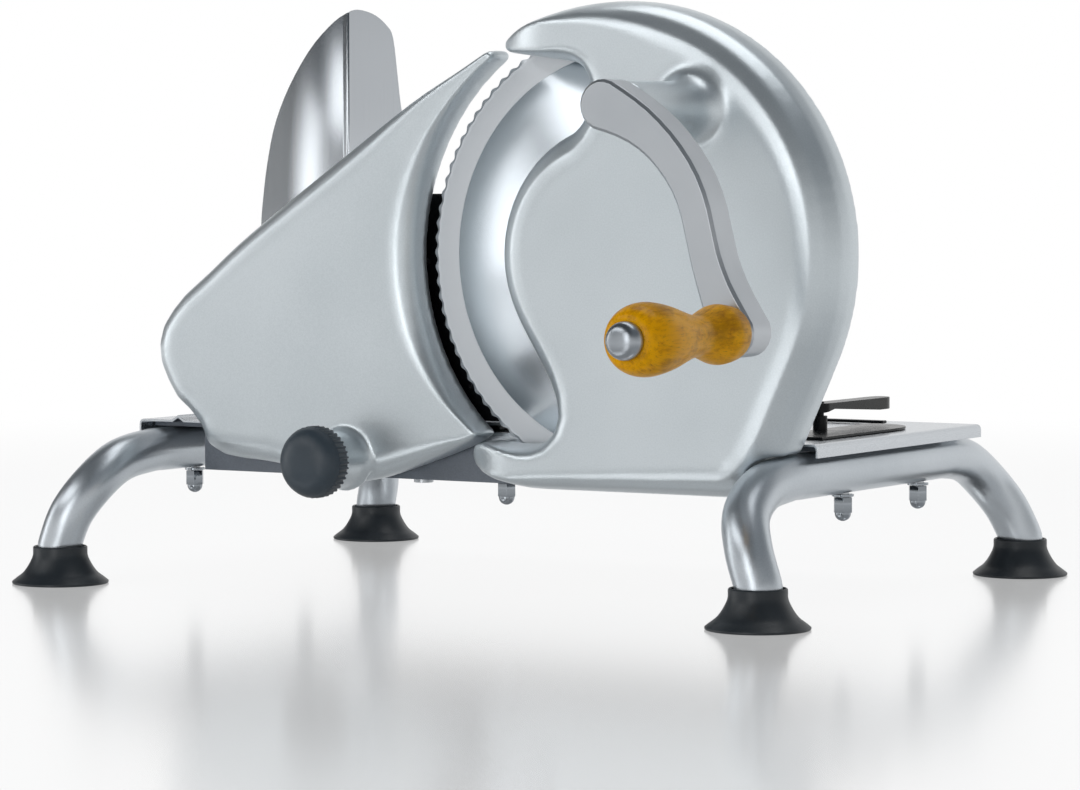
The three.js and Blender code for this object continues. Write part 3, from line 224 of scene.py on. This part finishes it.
bpy.ops.mesh.primitive_plane_add(size=30)
floor = bpy.context.object
floor.name = "studio_floor"
gloss_floor = Finish("floor_gloss", Base_Color=colour(246, 247, 248), Roughness=0.6)
rays = [gloss_floor.node("ShaderNodeLightPath", output=i) for i in (0, 3, 6)]
seen_floor = (rays[0] + rays[1] + rays[2]).between(0, 1)
floor_x, floor_y, _ = gloss_floor.split(gloss_floor.place())
# metres from the machine's middle where the floor's shine starts to fade, and where it is gone
shine_end = (0.35, 1.3)
far = ((floor_x * floor_x + floor_y * floor_y) ** 0.5).between(*shine_end)
glow = gloss_floor.node("ShaderNodeEmission", inputs={"Color": (1, 1, 1, 1), "Strength": 1.0})
plain = Value(gloss_floor, gloss_floor.shader.outputs[0])
shine = gloss_floor.node("ShaderNodeBsdfGlossy", inputs={"Color": (1, 1, 1, 1), "Roughness": 0.16})
lift = seen_floor * (0.8 + 0.2 * far)
lifted = gloss_floor.node("ShaderNodeMixShader", inputs={0: lift, 1: plain, 2: glow})
shine_share = 0.55 * (1 - far)
polished_floor = gloss_floor.node(
    "ShaderNodeMixShader", inputs={0: shine_share, 1: lifted, 2: shine}
)
output = gloss_floor.tree.nodes["Material Output"]
gloss_floor.put(output.inputs["Surface"], polished_floor)
floor.data.materials.append(gloss_floor.material)

node_body = {
    node: body for body, nodes in frame["record"]["behaviour"]["bodies"].items() for node in nodes
}


def select_only(piece):
    bpy.ops.object.select_all(action="DESELECT")
    piece.select_set(True)
    bpy.context.view_layer.objects.active = piece


def modify(piece, kind, **settings):
    """Adds a modifier and applies it."""
    select_only(piece)
    bpy.ops.object.modifier_add(type=kind)
    modifier = piece.modifiers[-1]
    for key, value in settings.items():
        setattr(modifier, key, value)
    bpy.ops.object.modifier_apply(modifier=modifier.name)


def smooth(piece, degrees):
    select_only(piece)
    bpy.ops.object.shade_smooth_by_angle(angle=math.radians(degrees))


def stand_for(piece, node, finish):
    """Gives a finished piece its material and its body, and hides the node that it replaces."""
    piece.data.materials.clear()
    piece.data.materials.append(finish.material)
    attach(piece, node_body[node])
    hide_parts(node)


def dress(node, finish):
    """Gives a CAD node that keeps its own shape a finish."""
    data = frame["nodes"][node].data
    data.materials.clear()
    data.materials.append(finish.material)


def apply_place(piece):
    select_only(piece)
    bpy.ops.object.transform_apply(location=True, rotation=True, scale=True)


def turned(name, profile, centre, axis="Z", steps=64, corner=30):
    """Spins a profile of (radius, height) points, in millimetres, into a closed piece."""
    start = [Vector((r / 1000, 0, h / 1000)) for r, h in profile]
    bpy.ops.object.select_all(action="DESELECT")
    bpy.ops.mesh.primitive_plane_add(size=0.001, location=(0, 0, 0))
    piece = bpy.context.object
    piece.name = name
    bpy.ops.object.mode_set(mode="EDIT")
    bpy.ops.mesh.select_all(action="SELECT")
    bpy.ops.mesh.merge(type="CENTER")
    bpy.ops.transform.translate(value=start[0])
    for before, after in zip(start, start[1:]):
        bpy.ops.mesh.extrude_region_move(TRANSFORM_OT_translate={"value": after - before})
    bpy.ops.mesh.select_all(action="SELECT")
    bpy.ops.mesh.spin(steps=steps, angle=2 * math.pi, axis=(0, 0, 1), center=(0, 0, 0))
    bpy.ops.mesh.select_all(action="SELECT")
    bpy.ops.mesh.remove_doubles(threshold=1e-6)
    bpy.ops.mesh.normals_make_consistent(inside=False)
    bpy.ops.object.mode_set(mode="OBJECT")
    # heights run along +Y for a piece on a lying axle
    turn = {"Z": Matrix.Identity(4), "Y": Matrix.Rotation(math.radians(-90), 4, "X")}[axis]
    piece.data.transform(Matrix.Translation(centre) @ turn)
    smooth(piece, corner)
    return piece


def rounded(points, steps=4):
    """A smooth run of points through the given ones."""
    run = []
    for i in range(len(points) - 1):
        p = [Vector(points[min(max(i + k, 0), len(points) - 1)]) for k in (-1, 0, 1, 2)]
        for k in range(steps):
            t = k / steps
            run.append(tuple(0.5 * (
                2 * p[1] + (p[2] - p[0]) * t + (2 * p[0] - 5 * p[1] + 4 * p[2] - p[3]) * t ** 2
                + (3 * p[1] - p[0] - 3 * p[2] + p[3]) * t ** 3
            )))
    return run + [tuple(points[-1])]


# Suction feet
# Four moulded rubber cups, each pushed onto a tube end. A collar grips the tube, the skirt
# flares out, and the thin lip lies flat on the table.
foot_lip, foot_collar, foot_height, foot_socket = 20.6, 11.6, 16, 10.5
rubber = Finish("foot_rubber", Roughness=0.55, Specular_IOR_Level=0.45)
spot = rubber.place()
blotch = rubber.noise(spot, 90, 3)
rubber.feed(
    Base_Color=rubber.mix(blotch, colour(26, 32, 37), colour(38, 45, 51)),
    Roughness=0.34 + 0.16 * rubber.noise(spot, 240, 2),
    Normal=rubber.bump(rubber.noise(spot, 1400, 2), 0.12, 0.0003),
)
foot_flare = rounded([
    (foot_lip, 1.0), (18.6, 2.6), (16.0, 4.6), (13.9, 7.4), (12.2, 10.6), (foot_collar, 12.6),
])
foot_profile = [
    (0, 5.5), (8, 4.6), (14, 2.2), (17.2, 0), (20.2, 0), (foot_lip, 0.4), *foot_flare,
    (foot_collar, foot_height - 0.5), (foot_collar - 0.4, foot_height),
    (foot_socket + 0.3, foot_height), (foot_socket, foot_height - 0.4), (foot_socket, 8.5), (0, 8.5),
]
for corner in ("front_left", "rear_left", "front_right", "rear_right"):
    low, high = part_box(f"foot_{corner}")
    centre = ((low.x + high.x) / 2, (low.y + high.y) / 2, 0)
    stand_for(turned(f"rubber_foot_{corner}", foot_profile, centre), f"foot_{corner}", rubber)

# Leg tubes
# Two steel tubes, each bent into a low arch with splayed ends and coated with satin silver
# paint. The level run is drilled for the bolts that hold the base frame.
tube_radius = 0.0094


def silver_paint(name, dark, light, roughness, metallic, seed):
    """Satin silver paint on metal: fine sparkling grain over a slow, faint cloud."""
    finish = Finish(name, Metallic=metallic)
    spot = finish.place(shift=(seed, seed, seed))
    cloud = finish.noise(spot, 9, 3, 0.55)
    grain = finish.noise(spot, 1500, 3, 0.65)
    tone = (cloud * 0.6 + grain * 0.4).between(0.3, 0.7)
    finish.feed(
        Base_Color=finish.mix(tone, dark, light),
        Roughness=roughness - 0.04 + 0.1 * finish.noise(spot, 26, 3),
        Normal=finish.bump(grain, 0.15, 0.0004),
    )
    return finish


tube_paint = silver_paint(
    "tube_silver_paint", colour(184, 191, 197), colour(202, 208, 213), 0.3, 0.85, 3
)
tube_x, tube_axis, foot_x, foot_y = 0.1567, 0.0548, 0.169, 0.1225
front_bend, rear_bend = (0.0016, 0.0096, 0.025, 0.046), (0.0045, 0.0145, 0.031, 0.052)
machine_shift = Vector((-0.0022544, 0.0537, 0))


def leg_route(bend):
    """Points up one leg and along to the level run, for the four distances of its bend."""
    spread = foot_x - tube_x
    low, middle, high, top = bend
    return [
        (foot_x, -foot_y, 0.0088), (foot_x, -foot_y, 0.014), (foot_x, -foot_y, 0.017),
        (tube_x + 0.6 * spread, -foot_y + low, 0.55 * tube_axis),
        (tube_x + 0.16 * spread, -foot_y + middle, 0.77 * tube_axis),
        (tube_x, -foot_y + high, 0.935 * tube_axis),
        (tube_x, -foot_y + top, tube_axis - 0.0003), (tube_x, -foot_y + top + 0.02, tube_axis),
    ]


for side, side_name in ((-1, "left"), (1, "right")):
    whole = leg_route(front_bend) + [(x, -y, z) for x, y, z in reversed(leg_route(rear_bend))]
    route = rounded([(side * x, y, z) for x, y, z in whole], 6)
    bpy.ops.curve.primitive_nurbs_path_add(location=(0, 0, 0))
    tube = bpy.context.object
    tube.name = f"bent_tube_{side_name}"
    tube.data.splines.clear()
    spline = tube.data.splines.new("POLY")
    spline.points.add(len(route) - 1)
    for point, place in zip(spline.points, route):
        point.co = (*(Vector(place) + machine_shift), 1)
    tube.data.bevel_depth = tube_radius
    tube.data.bevel_resolution = 10
    tube.data.use_fill_caps = True
    select_only(tube)
    bpy.ops.object.convert(target="MESH")
    bpy.ops.object.mode_set(mode="EDIT")
    bpy.ops.mesh.select_all(action="SELECT")
    bpy.ops.mesh.remove_doubles(threshold=1e-6)
    bpy.ops.mesh.normals_make_consistent(inside=False)
    bpy.ops.object.mode_set(mode="OBJECT")
    smooth(tube, 40)
    stand_for(tube, f"{side_name}_leg_tube", tube_paint)


def refined(node, name, finish, edge=0.0003, segments=2):
    """A merged copy of a CAD node with flat faces whole again and its edges eased."""
    bpy.ops.object.select_all(action="DESELECT")
    piece = bpy.data.objects.new(name, frame["nodes"][node].data.copy())
    bpy.context.scene.collection.objects.link(piece)
    select_only(piece)
    bpy.ops.object.mode_set(mode="EDIT")
    bpy.ops.mesh.select_all(action="SELECT")
    bpy.ops.mesh.remove_doubles(threshold=2e-6)
    bpy.ops.mesh.dissolve_limited(angle_limit=math.radians(0.6))
    bpy.ops.object.mode_set(mode="OBJECT")
    piece.data.materials.clear()
    modify(
        piece, "BEVEL", width=edge, segments=segments, limit_method="ANGLE",
        angle_limit=math.radians(40), miter_outer="MITER_ARC", harden_normals=False,
    )
    smooth(piece, 32)
    modify(piece, "WEIGHTED_NORMAL", keep_sharp=True, weight=100)
    stand_for(piece, node, finish)


# Base frame
# A grey painted steel plate across both tubes, folded down in front into a skirt that carries
# the castings. Flat-headed bolts with washers and acorn nuts hold it to the tubes.
frame_paint = silver_paint(
    "grey_frame_paint", colour(104, 110, 118), colour(120, 126, 134), 0.38, 0.7, 5
)
refined("base_frame", "folded_base_frame", frame_paint)

chrome = Finish("bright_chrome", Metallic=1.0, Roughness=0.08)
spot = chrome.place()
chrome.feed(
    Base_Color=chrome.mix(chrome.noise(spot, 60, 2), colour(140, 146, 152), colour(158, 163, 168)),
    Roughness=0.07 + 0.06 * chrome.noise(spot, 300, 3),
    Normal=chrome.bump(chrome.noise(spot, 500, 2), 0.03, 0.0002),
)
plain_steel = Finish("plain_steel", Metallic=1.0, Roughness=0.3)
spot = plain_steel.place()
plain_steel.feed(
    Base_Color=plain_steel.mix(
        plain_steel.noise(spot, 50, 3), colour(176, 180, 184), colour(196, 200, 203)
    ),
    Roughness=0.24 + 0.14 * plain_steel.noise(spot, 160, 3),
    Normal=plain_steel.bump(plain_steel.noise(spot, 800, 2), 0.06, 0.0003),
)
nut_flats, nut_body, nut_height = 7.2, 6.2, 9.8
nut_dome = rounded([(0.9, -9.7), (2.1, -9.1), (2.9, -8.2), (3.3, -7.1), (3.35, -6.0)], 3)
dome_profile = [(0, -nut_height), *nut_dome, (0, -5.8)]
for spot_name in ("left_front", "left_rear", "right_front", "right_rear", "centre"):
    low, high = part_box(f"cap_nut_{spot_name}")
    centre = Vector(((low.x + high.x) / 2, (low.y + high.y) / 2, high.z))
    bpy.ops.object.select_all(action="DESELECT")
    bpy.ops.mesh.primitive_cylinder_add(
        vertices=6, radius=nut_flats / 1000 / math.sqrt(3), depth=nut_body / 1000,
        location=centre - Vector((0, 0, nut_body / 2000)), rotation=(0, 0, math.radians(30)),
    )
    nut = bpy.context.object
    nut.name = f"acorn_nut_{spot_name}"
    apply_place(nut)
    dome = turned("nut_dome", dome_profile, centre, steps=32)
    modify(nut, "BOOLEAN", operation="UNION", object=dome, solver="EXACT")
    bpy.data.objects.remove(dome)
    modify(
        nut, "BEVEL", width=0.00035, segments=3, limit_method="ANGLE", angle_limit=math.radians(45)
    )
    smooth(nut, 40)
    stand_for(nut, f"cap_nut_{spot_name}", chrome)
    dress(f"frame_bolt_{spot_name}", plain_steel)
    if spot_name != "centre":
        refined(f"washer_{spot_name}", f"flat_washer_{spot_name}", chrome, edge=0.00015)

# Base sheet
# One stainless sheet laid over the frame, its ends rolled down into lips and a V rib pressed in
# near the left end. It is brushed along its length.
brushed = Finish("brushed_stainless", Metallic=1.0, Roughness=0.26)
streak = brushed.noise(brushed.place((8, 900, 900)), 1.0, 4, 0.6)
fine = brushed.noise(brushed.place((30, 2400, 2400)), 1.0, 3, 0.6)
brushed.feed(
    Base_Color=brushed.mix(streak, colour(184, 189, 194), colour(206, 210, 214)),
    Roughness=0.2 + 0.14 * fine,
    Normal=brushed.bump(fine, 0.03, 0.0002),
)
refined("base_sheet", "stainless_base_sheet", brushed, edge=0.0002)

# Guide rail, runners, pusher and carriage stop
# Black moulded plastic. The rail and runners guide the carriage, the pusher's teeth hold the
# food, and the stop at the right end has a flat foot, a short post and a lever that swings.
black_plastic = Finish("black_moulding", Specular_IOR_Level=0.18)
spot = black_plastic.place()
black_plastic.feed(
    Base_Color=black_plastic.mix(
        black_plastic.noise(spot, 60, 3), colour(9, 10, 12), colour(20, 22, 25)
    ),
    Roughness=0.2 + 0.14 * black_plastic.noise(spot, 180, 3),
    Normal=black_plastic.bump(black_plastic.noise(spot, 1600, 2), 0.06, 0.0003),
)
mouldings = (
    "guide_rail", "front_runner", "rear_runner", "pusher", "pusher_grip", "stop_post",
    "stop_lever",
)
for node in mouldings:
    refined(node, f"moulded_{node}", black_plastic, edge=0.0004, segments=3)

# Housing
# An aluminium casting in satin silver: a ring round the blade, a bulge over the gears, two
# prongs and a conical boss for the crank. Every edge is rounded as a sand casting's are.


def cast(node, name, grid, passes, finish):
    """A merged copy of a CAD casting, meshed evenly and eased all over."""
    bpy.ops.object.select_all(action="DESELECT")
    piece = bpy.data.objects.new(name, frame["nodes"][node].data.copy())
    bpy.context.scene.collection.objects.link(piece)
    select_only(piece)
    bpy.ops.object.mode_set(mode="EDIT")
    bpy.ops.mesh.select_all(action="SELECT")
    bpy.ops.mesh.remove_doubles(threshold=2e-6)
    bpy.ops.object.mode_set(mode="OBJECT")
    modify(piece, "REMESH", mode="VOXEL", voxel_size=grid, adaptivity=0)
    modify(piece, "SMOOTH", factor=0.5, iterations=passes)
    select_only(piece)
    bpy.ops.object.shade_smooth()
    stand_for(piece, node, finish)


cast_paint = silver_paint(
    "satin_silver_paint", colour(200, 208, 212), colour(216, 223, 227), 0.33, 0.8, 0
)
cast("housing", "cast_housing", 0.0011, 14, cast_paint)
refined("housing_back_plate", "housing_rear_cover", plain_steel, edge=0.0002)
housing_fasteners = (
    "housing_bolt_1", "housing_bolt_2", "back_plate_screw_1", "back_plate_screw_2",
    "back_plate_screw_3",
)
for node in housing_fasteners:
    refined(node, f"machined_{node}", plain_steel, edge=0.0002)

# Blade
# A stainless disc on a steel gear. Its front is ground to a broad bevel, and the edge has
# small scallops. A coin screw on the food side frees it for cleaning.
blade_low, blade_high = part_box("blade")
blade_centre = Vector(((blade_low.x + blade_high.x) / 2, 0, (blade_low.z + blade_high.z) / 2))
blade_radius, bevel_start, scallops, scallop_depth = 95.0, 82.5, 96, 1.1
back, front = blade_high.y * 1000, blade_low.y * 1000
blade_bore, edge_rise = 7.6, 0.7 * 1.25
blade_profile = [
    (blade_bore, back), (94.6, back), (blade_radius, back - 0.1), (blade_radius, back - 0.35),
    (93.4, front + edge_rise), (91.8, front + 1.0), (bevel_start, front), (60, front),
    (blade_bore, front), (blade_bore, back),
]
blade = turned(
    "scalloped_blade", blade_profile, blade_centre, axis="Y", steps=scallops * 8, corner=12
)
# the scallops start at this radius and are whole this much further out, both in metres
scallop_start, scallop_fade = 0.0926, 0.002
for vertex in blade.data.vertices:
    across, tall = vertex.co.x - blade_centre.x, vertex.co.z - blade_centre.z
    radius = math.hypot(across, tall)
    if radius < scallop_start:
        continue
    wave = 0.5 - 0.5 * math.cos(scallops * math.atan2(tall, across))
    fade = min(1, (radius - scallop_start) / scallop_fade)
    share = 1 - wave * scallop_depth / 1000 / radius * fade
    vertex.co.x = blade_centre.x + across * share
    vertex.co.z = blade_centre.z + tall * share
blade_steel = Finish("ground_blade_steel", Metallic=1.0, Roughness=0.2)
spot = blade_steel.place(shift=tuple(-blade_centre))
across, _, tall = blade_steel.split(spot)
radius = (across * across + tall * tall) ** 0.5
ring_place = blade_steel.node("ShaderNodeCombineXYZ", inputs={0: radius * 2600, 1: 0.0, 2: 0.0})
rings = blade_steel.noise(ring_place, 1.0, 3, 0.7)
bevel_blend = (0.0820, 0.0829)
ground = radius.between(*bevel_blend)
disc = blade_steel.mix(rings, colour(194, 201, 207), colour(208, 214, 219))
# the flat disc shades as if it were dished, with normals that lean outwards all round
dish_slope = -0.34
dish = radius.maths("MINIMUM", radius, bevel_start / 1000) * dish_slope
blade_steel.feed(
    Base_Color=blade_steel.mix(ground, disc, colour(206, 210, 214)),
    Roughness=0.2 + 0.06 * rings + 0.22 * ground,
    Normal=blade_steel.bump(dish + rings * 0.000006, 1.0, 1.0),
)
stand_for(blade, "blade", blade_steel)
refined("blade_screw", "blade_coin_screw", chrome, edge=0.0003)
for node in ("blade_gear", "blade_axle", "crank_shaft", "crank_pinion", "shaft_clip"):
    refined(node, f"machined_{node}", plain_steel, edge=0.0002)
bronze = Finish("bush_bronze", Metallic=1.0, Roughness=0.38)
spot = bronze.place()
bronze.feed(
    Base_Color=bronze.mix(bronze.noise(spot, 300, 3), colour(150, 112, 66), colour(182, 140, 88)),
    Roughness=0.32 + 0.14 * bronze.noise(spot, 500, 2),
    Normal=bronze.bump(bronze.noise(spot, 2200, 2), 0.1, 0.0002),
)
for node in ("blade_gear_bush", "crank_bush_front", "crank_bush_rear"):
    dress(node, bronze)

# Crank arm
# A curved bar of satin aluminium, flat in front with a narrow chamfer. One eye is fixed on the
# crank shaft, the other holds the handle's spindle.
satin = Finish("satin_aluminium", Metallic=0.9, Roughness=0.34)
spot = satin.place()
satin.feed(
    Base_Color=satin.mix(satin.noise(spot, 30, 3), colour(178, 183, 188), colour(190, 194, 198)),
    Roughness=0.3 + 0.1 * satin.noise(spot, 120, 3),
    Normal=satin.bump(satin.noise(spot, 1500, 2), 0.07, 0.0003),
)
refined("crank_arm", "curved_crank_arm", satin, edge=0.0005, segments=3)
refined("handle_spindle", "turned_handle_spindle", plain_steel, edge=0.0003)

# Crank handle
# Hardwood turned to a full belly with a narrow waist, stained amber and lacquered. It spins on
# the spindle behind a polished steel cap.
handle_low, handle_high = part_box("crank_handle")
handle_axis = Vector(((handle_low.x + handle_high.x) / 2, 0, (handle_low.z + handle_high.z) / 2))
handle_length = (handle_high.y - handle_low.y) * 1000
# share of the length from the root, and radius
grip = [
    (0.0, 8.8), (0.03, 10.2), (0.09, 11.0), (0.15, 11.2), (0.23, 9.8), (0.29, 8.4), (0.35, 7.6),
    (0.45, 8.5), (0.55, 10.1), (0.65, 11.8), (0.75, 13.0), (0.84, 13.5), (0.92, 12.6), (0.98, 10.2),
    (1.0, 6.6),
]
handle_root = handle_high.y * 1000
grip_run = [(r, handle_root - share * handle_length) for share, r in rounded(grip, 5)]
handle_bore = 3.4
handle_end = handle_root - handle_length
handle_profile = [
    (handle_bore, handle_root), *grip_run, (handle_bore, handle_end), (handle_bore, handle_root),
]
handle = turned(
    "amber_wood_handle", handle_profile, handle_axis, axis="Y", steps=72, corner=50
)
wood = Finish(
    "amber_lacquered_wood", Coat_Weight=0.12, Coat_Roughness=0.06, Specular_IOR_Level=0.05
)
sway = wood.noise(wood.place((70, 26, 70)), 1.0, 3)
lines = wood.noise(wood.place((700, 45, 700)), 1.0, 4, 0.6)
flecks = wood.noise(wood.place((2200, 170, 2200)), 1.0, 3).between(0.56, 0.74)
patches = wood.noise(wood.place((210, 90, 210)), 1.0, 4, 0.7)
stain = (sway * 0.7 + patches * 0.5).between(0.56, 0.8)
amber = wood.mix(sway, colour(230, 158, 0), colour(255, 190, 8))
streaked = wood.mix(lines.between(0.45, 0.7) * 0.45, amber, colour(184, 110, 0))
stained = wood.mix(stain * 0.6, streaked, colour(116, 62, 0))
wood.feed(
    Base_Color=wood.mix(flecks * 0.4, stained, colour(96, 50, 0)),
    Roughness=0.3 + 0.14 * lines,
    Normal=wood.bump(flecks, 0.1, 0.0002),
)
stand_for(handle, "crank_handle", wood)
cap_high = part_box("handle_cap")[1]
cap_dome = rounded([(7, -2.3), (6.5, -4.0), (5.1, -5.5), (2.8, -6.3), (0, -6.5)], 4)
cap_outline = [(3.3, 0), (6.6, 0), (7, -0.4), *cap_dome, (0, -2.4), (3.3, -2.4), (3.3, 0)]
cap_profile = [(r, h + cap_high.y * 1000) for r, h in cap_outline]
cap = turned("domed_handle_cap", cap_profile, handle_axis, axis="Y", steps=48)
cap_steel = Finish("polished_cap_steel", Metallic=1.0)
spot = cap_steel.place()
cap_steel.feed(
    Base_Color=cap_steel.mix(
        cap_steel.noise(spot, 120, 2), colour(150, 156, 162), colour(166, 171, 176)
    ),
    Roughness=0.26 + 0.08 * cap_steel.noise(spot, 400, 3),
    Normal=cap_steel.bump(cap_steel.noise(spot, 700, 2), 0.04, 0.0002),
)
stand_for(cap, "handle_cap", cap_steel)

# Stop plate
# A pillow-shaped aluminium casting whose edge follows the blade. Two steel rods guide it, and
# the thickness screw moves it.
cast("stop_plate", "cast_stop_plate", 0.0009, 20, cast_paint)
stop_metal = (
    "guide_rod_1", "guide_rod_2", "thickness_screw", "guide_block_screw_1", "guide_block_screw_2",
)
for node in stop_metal:
    refined(node, f"machined_{node}", plain_steel, edge=0.0002)
brass = Finish("nut_brass", Metallic=1.0, Roughness=0.3)
spot = brass.place()
brass.feed(
    Base_Color=brass.mix(brass.noise(spot, 200, 3), colour(184, 150, 76), colour(206, 172, 96)),
    Roughness=0.26 + 0.12 * brass.noise(spot, 400, 2),
)
dress("guide_nut", brass)
grey_plastic = Finish("grey_moulding", Roughness=0.45)
spot = grey_plastic.place()
grey_plastic.feed(
    Base_Color=grey_plastic.mix(
        grey_plastic.noise(spot, 80, 3), colour(58, 63, 68), colour(74, 79, 84)
    ),
    Roughness=0.4 + 0.12 * grey_plastic.noise(spot, 200, 3),
    Normal=grey_plastic.bump(grey_plastic.noise(spot, 1500, 2), 0.1, 0.0003),
)
refined("guide_block", "drilled_guide_block", grey_plastic, edge=0.0004)

# Thickness knob
# A domed black moulding with a ridged grip band behind it. It sits on the thickness screw and
# turns with it.
knob_low, knob_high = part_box("thickness_knob")
knob_axis = Vector(((knob_low.x + knob_high.x) / 2, 0, (knob_low.z + knob_high.z) / 2))
knob_back = knob_high.y * 1000
knob_radius, ridges, ridge_depth, band = 15.0, 40, 0.9, 8.0
dome_run = rounded([
    (14.4, -band - 0.2), (13.6, -10), (11.6, -12.1), (8.4, -13.8), (4.4, -14.75), (0, -15),
], 4)
knob_outline = [
    (3.8, 0), (13.4, 0), (14.6, -0.6), (knob_radius, -1.4), (knob_radius, -band + 1.2),
    (14.7, -band + 0.4), *dome_run, (0, -5.3), (3.8, -5.3), (3.8, 0),
]
knob_profile = [(r, h + knob_back) for r, h in knob_outline]
knob = turned(
    "ridged_thickness_knob", knob_profile, knob_axis, axis="Y", steps=ridges * 8, corner=40
)
# only the grip band is ridged: outside this radius and within this depth, in metres
ridge_root, ridge_run = 0.0145, 0.0072
for vertex in knob.data.vertices:
    across, tall = vertex.co.x - knob_axis.x, vertex.co.z - knob_axis.z
    radius = math.hypot(across, tall)
    depth = knob_back / 1000 - vertex.co.y
    if radius < ridge_root or depth > ridge_run:
        continue
    wave = max(0.0, math.cos(ridges * math.atan2(tall, across))) ** 0.6
    share = 1 - ridge_depth / 1000 * (1 - wave) / radius
    vertex.co.x = knob_axis.x + across * share
    vertex.co.z = knob_axis.z + tall * share
knob_plastic = Finish("satin_black_moulding", Specular_IOR_Level=0.5)
spot = knob_plastic.place()
knob_plastic.feed(
    Base_Color=knob_plastic.mix(
        knob_plastic.noise(spot, 90, 3), colour(44, 55, 64), colour(58, 70, 80)
    ),
    Roughness=0.38 + 0.1 * knob_plastic.noise(spot, 240, 3),
    Normal=knob_plastic.bump(knob_plastic.noise(spot, 1800, 2), 0.12, 0.0003),
)
stand_for(knob, "thickness_knob", knob_plastic)

# Carriage
# Stainless sheet folded into a floor, a wall that pushes the food, and a rounded thumb guard.
# The fold between wall and guard is a small clean radius.
guard_steel = Finish("brushed_guard_steel", Metallic=1.0, Roughness=0.26)
guard_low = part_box("carriage")[0]
guard_x, _, guard_z = guard_steel.split(guard_steel.place())
streak = guard_steel.noise(guard_steel.place((1400, 1400, 9)), 1.0, 4, 0.6)
# the flat sheet shades as if the thumb guard bowed back towards its rounded edge and the sheet
# leaned back towards its top, and as if the fold stood proud as a narrow bead
fold_x, lean_z = guard_low.x + 0.0454, 0.150
bow_rate, lean_rate, bead_height, bead_half_width = -8.2, -3.0, 0.0007, 0.0022
from_fold = guard_x.maths("MINIMUM", guard_x - fold_x, 0.0)
above = guard_z.maths("MAXIMUM", guard_z - lean_z, 0.0)
bead = 1 - guard_x.maths("ABSOLUTE", guard_x - fold_x).between(0.0, bead_half_width)
bend = from_fold * from_fold * bow_rate + above * above * lean_rate + bead * bead_height
guard_steel.feed(
    Base_Color=guard_steel.mix(streak, colour(180, 185, 190), colour(194, 198, 202)),
    Roughness=0.23 + 0.05 * streak,
    Normal=guard_steel.bump(bend + streak * 0.000001, 1.0, 1.0),
)
refined("carriage", "folded_carriage", guard_steel, edge=0.0005, segments=3)
